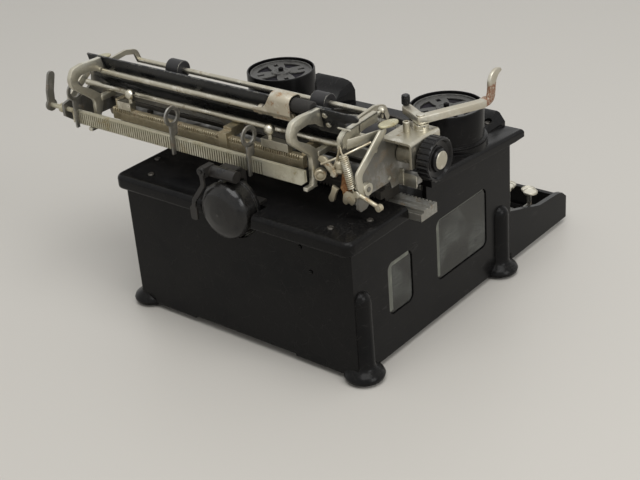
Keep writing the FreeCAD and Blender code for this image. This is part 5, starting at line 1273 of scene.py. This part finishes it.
@dataclass
class TabulatorComb(SubAssembly):
    """The tabulator comb with its free-hanging teeth, its end rod and the three ringed stops."""

    left: float = -72.5
    right: float = 209.0
    low: float = 164.5
    high: float = 178.0
    band: float = 1.9
    plane: float = -18.0
    thick: float = 3.0
    pitch: float = 2.8
    gap: float = 1.3
    first: float = -26.5
    teeth: int = 83
    corner: tuple[float, float] = (4.0, 3.0)
    rod: tuple[float, float, float] = (208.0, 35.4, 2.2)
    rod_z: float = 175.8
    collars: tuple[tuple[float, float, float], ...] = ((219.0, 4.6, 6.0), (241.5, 4.2, 1.9))
    collar_break: float = 0.5
    stops: tuple[int, ...] = (4, 36, 81)
    stop_thick: float = 1.8
    ring: Profile = ((5.8, -0.9), (9.0, -0.9), (9.5, -0.4), (9.5, 0.4), (9.0, 0.9), (5.8, 0.9))
    ring_place: tuple[float, float] = (-17.0, 197.0)
    stem: Profile = ((-21.6, 189.6), (-21.6, 180.0), (-16.2, 178.2), (-16.2, 161.6), (-12.4, 161.6),
                     (-12.4, 189.2))

    def outline(self) -> Outline:
        """Gives the comb's outline, with every gap between two teeth.

        Returns:
            The corners.
        """
        along, up = self.corner
        corners = [(self.left, self.high), (self.left, self.low + up), (self.left + along, self.low)]
        top = self.high - self.band
        for index in range(self.teeth):
            x = self.first + index * self.pitch
            corners += [(x, self.low), (x, top), (x + self.gap, top), (x + self.gap, self.low)]
        return corners + [(self.right, self.low), (self.right, self.high)]

    def build(self) -> None:
        """Makes the comb and the stops."""
        comb, rings = Mould(), Mould()
        comb.flat(self.outline(), self.plane - self.thick / 2, self.thick, Across.Y)
        start, length, radius = self.rod
        comb.turn([(0, 0), (radius, 0), (radius, length), (0, length)], (start, self.plane, self.rod_z),
                  (1, 0, 0), 24)
        for x, wide, length in self.collars:
            off = self.collar_break
            comb.turn([(0, 0), (wide - off, 0), (wide, off), (wide, length - off), (wide - off, length),
                       (0, length)], (x, self.plane, self.rod_z), (1, 0, 0), 28)
        comb.hand_over("tab_comb", "carriage", self.shop, COMB_NICKEL, "nickel", replaces="tab_rack")
        for tooth in self.stops:
            x = self.first + self.gap / 2 + tooth * self.pitch
            rings.turn(self.ring, (x, *self.ring_place), (1, 0, 0), 36, ring=True)
            rings.flat(self.stem, x - self.stop_thick / 2, self.stop_thick, Across.X, {0.8: (3, 4)}, 0.2)
        rings.hand_over("tab_ring_stops", "carriage", self.shop, PLATE_STEEL, "nickel", replaces="tab_stops")


@dataclass
class ReturnLever(SubAssembly):
    """The cranked carriage-return lever: bar, upturned handle and black knurled stop."""

    bar: Profile = (
        (-108.4, -116.8), (-104.2, -109.4), (-133.3, -93.0), (-161.0, -149.6), (-161.0, -160.4),
        (-154.0, -160.4), (-153.6, -151.4), (-129.9, -104.6))
    low: float = 202.2
    thick: float = 6.6
    handle: Profile = (
        (-156.5, 208.6), (-159.0, 213.5), (-159.2, 223.0), (-163.2, 228.6), (-170.0, 230.8), (-176.2, 229.9),
        (-178.4, 226.6), (-173.0, 225.0), (-169.2, 220.5), (-168.2, 213.5), (-167.0, 206.0), (-162.6, 202.4),
        (-156.5, 202.4))
    handle_start: float = -160.6
    handle_thick: float = 3.4
    stop: Place = (-107.6, -112.4, 208.6)
    stop_foot: Profile = ((0.0, 0.0), (2.4, 0.0), (2.4, 1.0), (3.6, 1.2))
    stop_head: Profile = ((3.6, 8.4), (2.8, 9.2), (0.0, 9.2))
    rib: Profile = ((3.7, 1.6), (3.7, 2.3), (3.35, 2.55))
    rib_step: float = 1.2
    ribs: int = 5

    def build(self) -> None:
        """Makes the lever and its stop."""
        lever, stop = Mould(), Mould()
        lever.flat(self.bar, self.low, self.thick, Across.Z, {3.6: (0, 1), 2.4: (2,), 1.6: (4, 5)}, 0.9)
        lever.flat(self.handle, self.handle_start, self.handle_thick, Across.X,
                   {2.4: (1, 2, 3, 4, 7, 8, 9, 10, 11), 1.2: (5, 6)}, 0.8)
        lever.hand_over("return_lever_bar", "return_lever", self.shop, RUSTY_NICKEL, "nickel",
                        replaces="return_lever")
        ribs = tuple((radius, height + index * self.rib_step) for index in range(self.ribs)
                     for radius, height in self.rib)
        stop.turn(self.stop_foot + ribs + self.stop_head, self.stop, steps=28)
        stop.hand_over("return_lever_stop", "return_lever", self.shop, KNOB, "dark_steel")


@dataclass
class ReleaseLevers(SubAssembly):
    """The two paper-release levers: a straight strap from the pivot to an oval thumb pad."""

    pivot: tuple[float, float] = (-36.0, 166.0)
    strap: Profile = (
        (-33.4, 163.2), (-30.5, 162.4), (-23.4, 168.4), (-22.4, 183.8), (-57.0, 209.2), (-64.6, 208.6),
        (-64.6, 205.0), (-29.8, 180.2), (-30.0, 172.6), (-33.4, 169.6))
    strap_thick: float = 2.2
    boss: Profile = ((2.3, -0.9), (5.4, -0.9), (5.4, 2.9), (2.3, 2.9))
    sides: tuple[tuple[str, float, float], ...] = (("left", -122.1, -120.6), ("right", 219.9, 218.6))
    pad: tuple[float, float] = (-69.5, 210.2)
    pad_reach: tuple[float, float] = (6.0, 11.5)
    pad_thick: float = 2.0
    pad_tilt: float = 4.0

    def build(self) -> None:
        """Makes both levers and their pads."""
        for name, face, pad in self.sides:
            node = f"release_lever_{name}"
            lever, oval = Mould(), Mould()
            lever.flat(self.strap, face, self.strap_thick, Across.X, {3.0: (2, 3, 7, 8), 1.5: (4, 5)}, 0.4)
            lever.turn(self.boss, (face, *self.pivot), (1, 0, 0), 28, ring=True)
            lever.hand_over(f"{node}_strap", node, self.shop, PALE_NICKEL, "nickel", replaces=node)
            oval.pad((pad, *self.pad), self.pad_reach, self.pad_thick, self.pad_tilt)
            oval.hand_over(f"{node}_pad", node, self.shop, THUMB_PAD, "nickel")


@dataclass
class LeftLinkage(SubAssembly):
    """The folded channel, the spring and the small links at the left end of the carriage."""

    outer: float = -105.4
    width: float = 5.0
    sheet: float = 1.2
    web: Profile = ((-27.0, 200.0), (-27.0, 208.4), (-33.0, 213.4), (-76.0, 215.3), (-76.0, 206.6),
                    (-58.0, 206.6), (-34.0, 203.6), (-30.5, 200.0))
    flange: Profile = ((-27.0, 200.0), (-27.0, 208.4), (-33.0, 213.4), (-76.0, 215.3), (-76.0, 214.1),
                       (-33.4, 212.2), (-28.2, 207.8), (-28.2, 200.0))
    seat: Profile = ((-50.4, 192.9), (-50.4, 214.0), (-51.6, 214.0), (-51.6, 192.9))
    seat_width: float = 6.4
    cross_pin: tuple[Place, ...] = ((-108.4, -36.0, 213.9), (-95.6, -36.0, 213.9))
    end_pin: tuple[Place, ...] = ((-101.2, -76.0, 211.0), (-101.2, -84.6, 211.2))
    pin_radii: tuple[float, float] = (0.9, 1.3)
    tongue: Profile = ((-104.0, -34.0), (-105.2, -33.6), (-116.6, -64.6), (-115.4, -65.0))
    tongue_low: float = 197.8
    tongue_tall: float = 8.2
    bar_sheet: tuple[float, float] = (-28.6, 2.8)
    crank_sheet: tuple[float, float] = (-28.4, 2.6)
    rusty_sheet: tuple[float, float] = (-30.4, 1.6)
    pivot: Profile = ((0, -3.5), (4.6, -3.5), (5.1, -2.9), (5.1, 1.6), (4.5, 2.4), (3.7, 2.4), (3.4, 1.4),
                      (2.5, 1.4), (2.3, 2.8), (0, 3.2))
    pivot_place: Place = (-81.6, -26.2, 173.6)
    pivot_axis: Place = (-0.62, 0.78, 0.0)
    crank: Profile = ((-80.0, 186.4), (-82.0, 190.6), (-87.0, 190.6), (-99.0, 180.0), (-98.2, 176.0),
                      (-93.6, 175.8), (-86.6, 182.6))
    ball: Profile = ((0, 0), (2.6, 0.6), (3.4, 2.0), (3.4, 3.2), (2.6, 4.6), (0, 5.2))
    ball_place: Place = (-96.4, -28.8, 177.8)
    push_wire: tuple[Place, ...] = ((-103.2, -27.0, 203.0), (-101.6, -27.0, 196.0), (-94.4, -27.0, 179.0),
                                     (-92.6, -27.0, 175.0))
    long_wire: tuple[Place, ...] = ((-85.0, -24.0, 184.6), (-104.0, -32.0, 193.6), (-117.4, -50.0, 200.6))
    wire_radii: tuple[float, float] = (1.15, 1.05)
    knuckle: Profile = ((0, 0), (3.4, 0.4), (4.2, 2.0), (3.6, 4.4), (4.4, 6.6), (4.0, 9.6), (2.6, 11.2),
                        (0, 11.8))
    knuckle_place: Place = (-101.4, -28.2, 178.6)
    finger: Profile = ((-99.0, 164.0), (-96.6, 160.0), (-93.8, 152.0), (-90.2, 150.8), (-88.0, 154.4),
                       (-91.2, 160.0), (-93.4, 166.6))
    fork: Profile = ((-115.4, 164.4), (-116.4, 157.4), (-112.6, 152.6), (-108.8, 154.6), (-106.6, 151.8),
                     (-103.0, 154.0), (-104.0, 161.0), (-108.0, 165.0))
    bolt: Profile = ((0, -2.6), (2.8, -2.6), (3.3, -2.0), (3.3, 2.0), (2.8, 2.6), (0, 2.6))
    bolt_place: Place = (-118.6, -27.0, 164.6)
    arm: tuple[Place, ...] = ((-118.6, -27.0, 164.4), (-138.4, -27.0, 157.8))
    arm_radius: float = 1.9
    tip: Profile = ((0, -2.0), (2.9, -2.0), (2.9, 2.0), (0, 2.0))
    tip_place: Place = (-139.4, -27.0, 157.4)
    rusty: Profile = ((-102.4, 181.6), (-108.0, 181.6), (-110.6, 171.0), (-110.0, 158.4), (-101.4, 158.4),
                      (-100.6, 168.0))
    rivet: Profile = ((0, -1.0), (3.6, -1.0), (4.0, 0.4), (3.4, 2.0), (0, 2.2))
    rivet_place: Place = (-105.4, -28.0, 166.8)
    spring_ends: tuple[Place, Place] = ((-107.4, -25.6, 195.6), (-114.6, -25.6, 168.6))
    spring_gauge: tuple[float, float, int] = (3.1, 0.72, 17)
    hooks: tuple[tuple[Place, ...], ...] = (
        ((-104.2, -26.4, 202.6), (-105.4, -25.6, 198.6), (-107.6, -25.6, 195.0)),
        ((-114.4, -25.6, 169.4), (-115.6, -26.0, 165.6), (-117.8, -27.0, 164.8)))
    hook_radius: float = 0.8

    def build(self) -> None:
        """Makes the channel, the links, the rusty link and the spring."""
        self.channel()
        self.links()
        self.rusty_link()
        self.spring()

    def channel(self) -> None:
        """Folds the thin channel and its seat on the rear rail."""
        folded = Mould()
        folded.flat(self.web, self.outer, self.sheet, Across.X, {2.0: (1, 2, 5, 6)}, 0.2)
        folded.flat(self.flange, self.outer, self.width, Across.X, {2.0: (1, 2), 1.0: (5, 6)}, 0.2)
        folded.flat(self.seat, self.outer, self.seat_width)
        for pin, radius in zip((self.cross_pin, self.end_pin), self.pin_radii):
            folded.wire(pin, radius)
        folded.flat(self.tongue, self.tongue_low, self.tongue_tall, Across.Z, edge=0.2)
        folded.hand_over("linkage_channel", "carriage", self.shop, PALE_NICKEL, "nickel",
                         replaces="release_linkage")

    def links(self) -> None:
        """Makes the pivot, the small bars, balls and wires."""
        small = Mould()
        small.turn(self.pivot, self.pivot_place, self.pivot_axis)
        small.flat(self.crank, *self.crank_sheet, Across.Y, {1.6: (1, 2, 3, 4, 5)}, 0.4)
        small.turn(self.ball, self.ball_place, (0, 1, 0), 20)
        for path, radius in zip((self.push_wire, self.long_wire), self.wire_radii):
            small.wire(path, radius)
        small.turn(self.knuckle, self.knuckle_place, steps=24)
        small.flat(self.finger, *self.bar_sheet, Across.Y, {1.5: (2, 3, 4)}, 0.5)
        small.flat(self.fork, *self.bar_sheet, Across.Y, {1.5: (1, 2, 4, 5, 6)}, 0.5)
        small.turn(self.bolt, self.bolt_place, (0, 1, 0), 24)
        small.wire(self.arm, self.arm_radius, 12)
        small.turn(self.tip, self.tip_place, (0, 1, 0), 20)
        small.hand_over("linkage_bars", "carriage", self.shop, LINK_NICKEL, "nickel")

    def rusty_link(self) -> None:
        """Makes the rusty link with its rivet."""
        rusty = Mould()
        rusty.flat(self.rusty, *self.rusty_sheet, Across.Y, {1.6: (0, 1, 3, 4)}, 0.3)
        rusty.turn(self.rivet, self.rivet_place, (0, 1, 0), 24)
        rusty.hand_over("linkage_rusty_plate", "carriage", self.shop, RUSTY_LINK, "steel")

    def spring(self) -> None:
        """Winds the pull spring and bends its two hooks."""
        spring = Mould()
        spring.coil(*self.spring_ends, *self.spring_gauge)
        for hook in self.hooks:
            spring.wire(hook, self.hook_radius)
        spring.hand_over("linkage_spring", "carriage", self.shop, LINK_NICKEL, "nickel")


@dataclass
class HousingParts(SubAssembly):
    """The bright sleeve round the platen shaft and the pale shelf below the left end plate."""

    sleeve: Profile = ((5.0, 0), (10.0, 0), (10.4, 0.4), (10.4, 8.316), (9.3, 9.24), (9.3, 22.7), (5.0, 23.1))
    sleeve_place: Place = (-142.4, -88.2, 179.0)
    shelf: Profile = ((-134.8, 149.0), (-119.2, 149.0), (-119.2, 160.4), (-134.8, 159.6))
    shelf_start: float = -86.6
    shelf_thick: float = 1.4
    hanger: Profile = ((-84.6, 163.6), (-86.6, 163.6), (-86.6, 149.2), (-84.6, 149.2))
    hanger_start: float = -121.6
    hanger_thick: float = 2.6

    def build(self) -> None:
        """Makes the sleeve and the shelf."""
        bright, shelf = Mould(), Mould()
        bright.turn(self.sleeve, self.sleeve_place, (1, 0, 0), 44, ring=True)
        bright.hand_over("shaft_sleeve", "platen_set", self.shop, NICKEL, "nickel")
        shelf.flat(self.shelf, self.shelf_start, self.shelf_thick, Across.Y, {1.2: (0, 3)}, 0.3)
        shelf.flat(self.hanger, self.hanger_start, self.hanger_thick)
        shelf.hand_over("carriage_shelf", "carriage", self.shop, PALE_NICKEL, "nickel")


# ------------------------------------------------------------------ stage


@dataclass
class Studio:
    """The floor, the lamps and the camera."""

    floor_size: float = 14.0
    floor_colour: Colour = (0.60, 0.575, 0.53)
    floor_roughness: float = 0.45
    world_colour: Colour = (0.80, 0.80, 0.79)
    world_light: float = 0.55
    hung: tuple[tuple[str, Place, float, float], ...] = (
        ("ceiling_lamp", (-0.5, 0.4, 2.2), 1.6, 26.0), ("side_lamp", (-1.9, 0.2, 1.3), 0.9, 10.0))
    aim: Place = (0, 0, 0.12)
    camera_place: Place = (-0.746251, 1.034783 - 0.16535, 0.616651)
    camera_right: Place = (-0.779416, -0.622279, -0.072654)
    camera_down: Place = (-0.239958, 0.403634, -0.882893)
    focal: float = 73.04
    sensor: float = 36.0
    far_clip: float = 50.0

    def build(self) -> None:
        """Builds the whole stage."""
        self.floor()
        self.world()
        self.lamps()
        self.camera()

    def floor(self) -> None:
        """Lays the plain pale floor."""
        mesh = bmesh.new()
        bmesh.ops.create_grid(mesh, x_segments=1, y_segments=1, size=self.floor_size / 2)
        data = bpy.data.meshes.new("floor")
        mesh.to_mesh(data)
        mesh.free()
        piece = bpy.data.objects.new("floor", data)
        bpy.context.scene.collection.objects.link(piece)
        material = bpy.data.materials.new("pale_floor")
        material.use_nodes = True
        shader = material.node_tree.nodes["Principled BSDF"]
        shader.inputs["Base Color"].default_value = rgba(self.floor_colour)
        shader.inputs["Roughness"].default_value = self.floor_roughness
        data.materials.append(material)

    def world(self) -> None:
        """Sets the pale surroundings, which light the piece at a plain level."""
        world = bpy.data.worlds.new("studio")
        bpy.context.scene.world = world
        world.use_nodes = True
        net = Net(world.node_tree)
        net.tree.nodes.clear()
        path = net.add("LightPath")
        seen = net.math("MAXIMUM", path.outputs["Is Camera Ray"], path.outputs["Is Transmission Ray"])
        seen = net.math("MAXIMUM", seen, path.outputs["Is Glossy Ray"])
        strength = net.math("MULTIPLY_ADD", seen, 1.0 - self.world_light, self.world_light)
        back = net.add("Background", {"Color": rgba(self.world_colour), "Strength": strength})
        net.join(back.outputs[0], net.add("OutputWorld").inputs[0])

    def lamps(self) -> None:
        """Hangs two broad soft lamps."""
        for name, place, size, power in self.hung:
            lamp = bpy.data.lights.new(name, "AREA")
            lamp.size = size
            lamp.energy = power
            piece = bpy.data.objects.new(name, lamp)
            piece.location = place
            aim = Vector(self.aim) - Vector(place)
            piece.rotation_euler = aim.to_track_quat("-Z", "Y").to_euler()
            bpy.context.scene.collection.objects.link(piece)

    def camera(self) -> None:
        """Sets the camera."""
        lens = bpy.data.cameras.new("camera")
        lens.lens = self.focal
        lens.sensor_width = self.sensor
        lens.clip_end = self.far_clip
        piece = bpy.data.objects.new("camera", lens)
        across, down = Vector(self.camera_right), Vector(self.camera_down)
        ahead = across.cross(down)
        turn = Matrix((across, -down, -ahead)).transposed().to_4x4()
        piece.matrix_world = Matrix.Translation(self.camera_place) @ turn
        bpy.context.scene.collection.objects.link(piece)
        bpy.context.scene.camera = piece


def main() -> None:
    """Builds and dresses the whole typewriter."""
    logging.basicConfig(level=logging.INFO, format="%(message)s")
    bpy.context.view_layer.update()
    bpy.context.scene.view_settings.view_transform = "Standard"
    Studio().build()
    shop = Workshop()
    shop.dress_nodes()
    for section in (KeyTops, RibbonSpools, DeckFasteners, WindowRimHighlights, CarriageTrim, TableFittings,
                    TabulatorComb, ReturnLever, ReleaseLevers, LeftLinkage, HousingParts):
        section(shop).build()


if __name__ == "__main__":
    main()
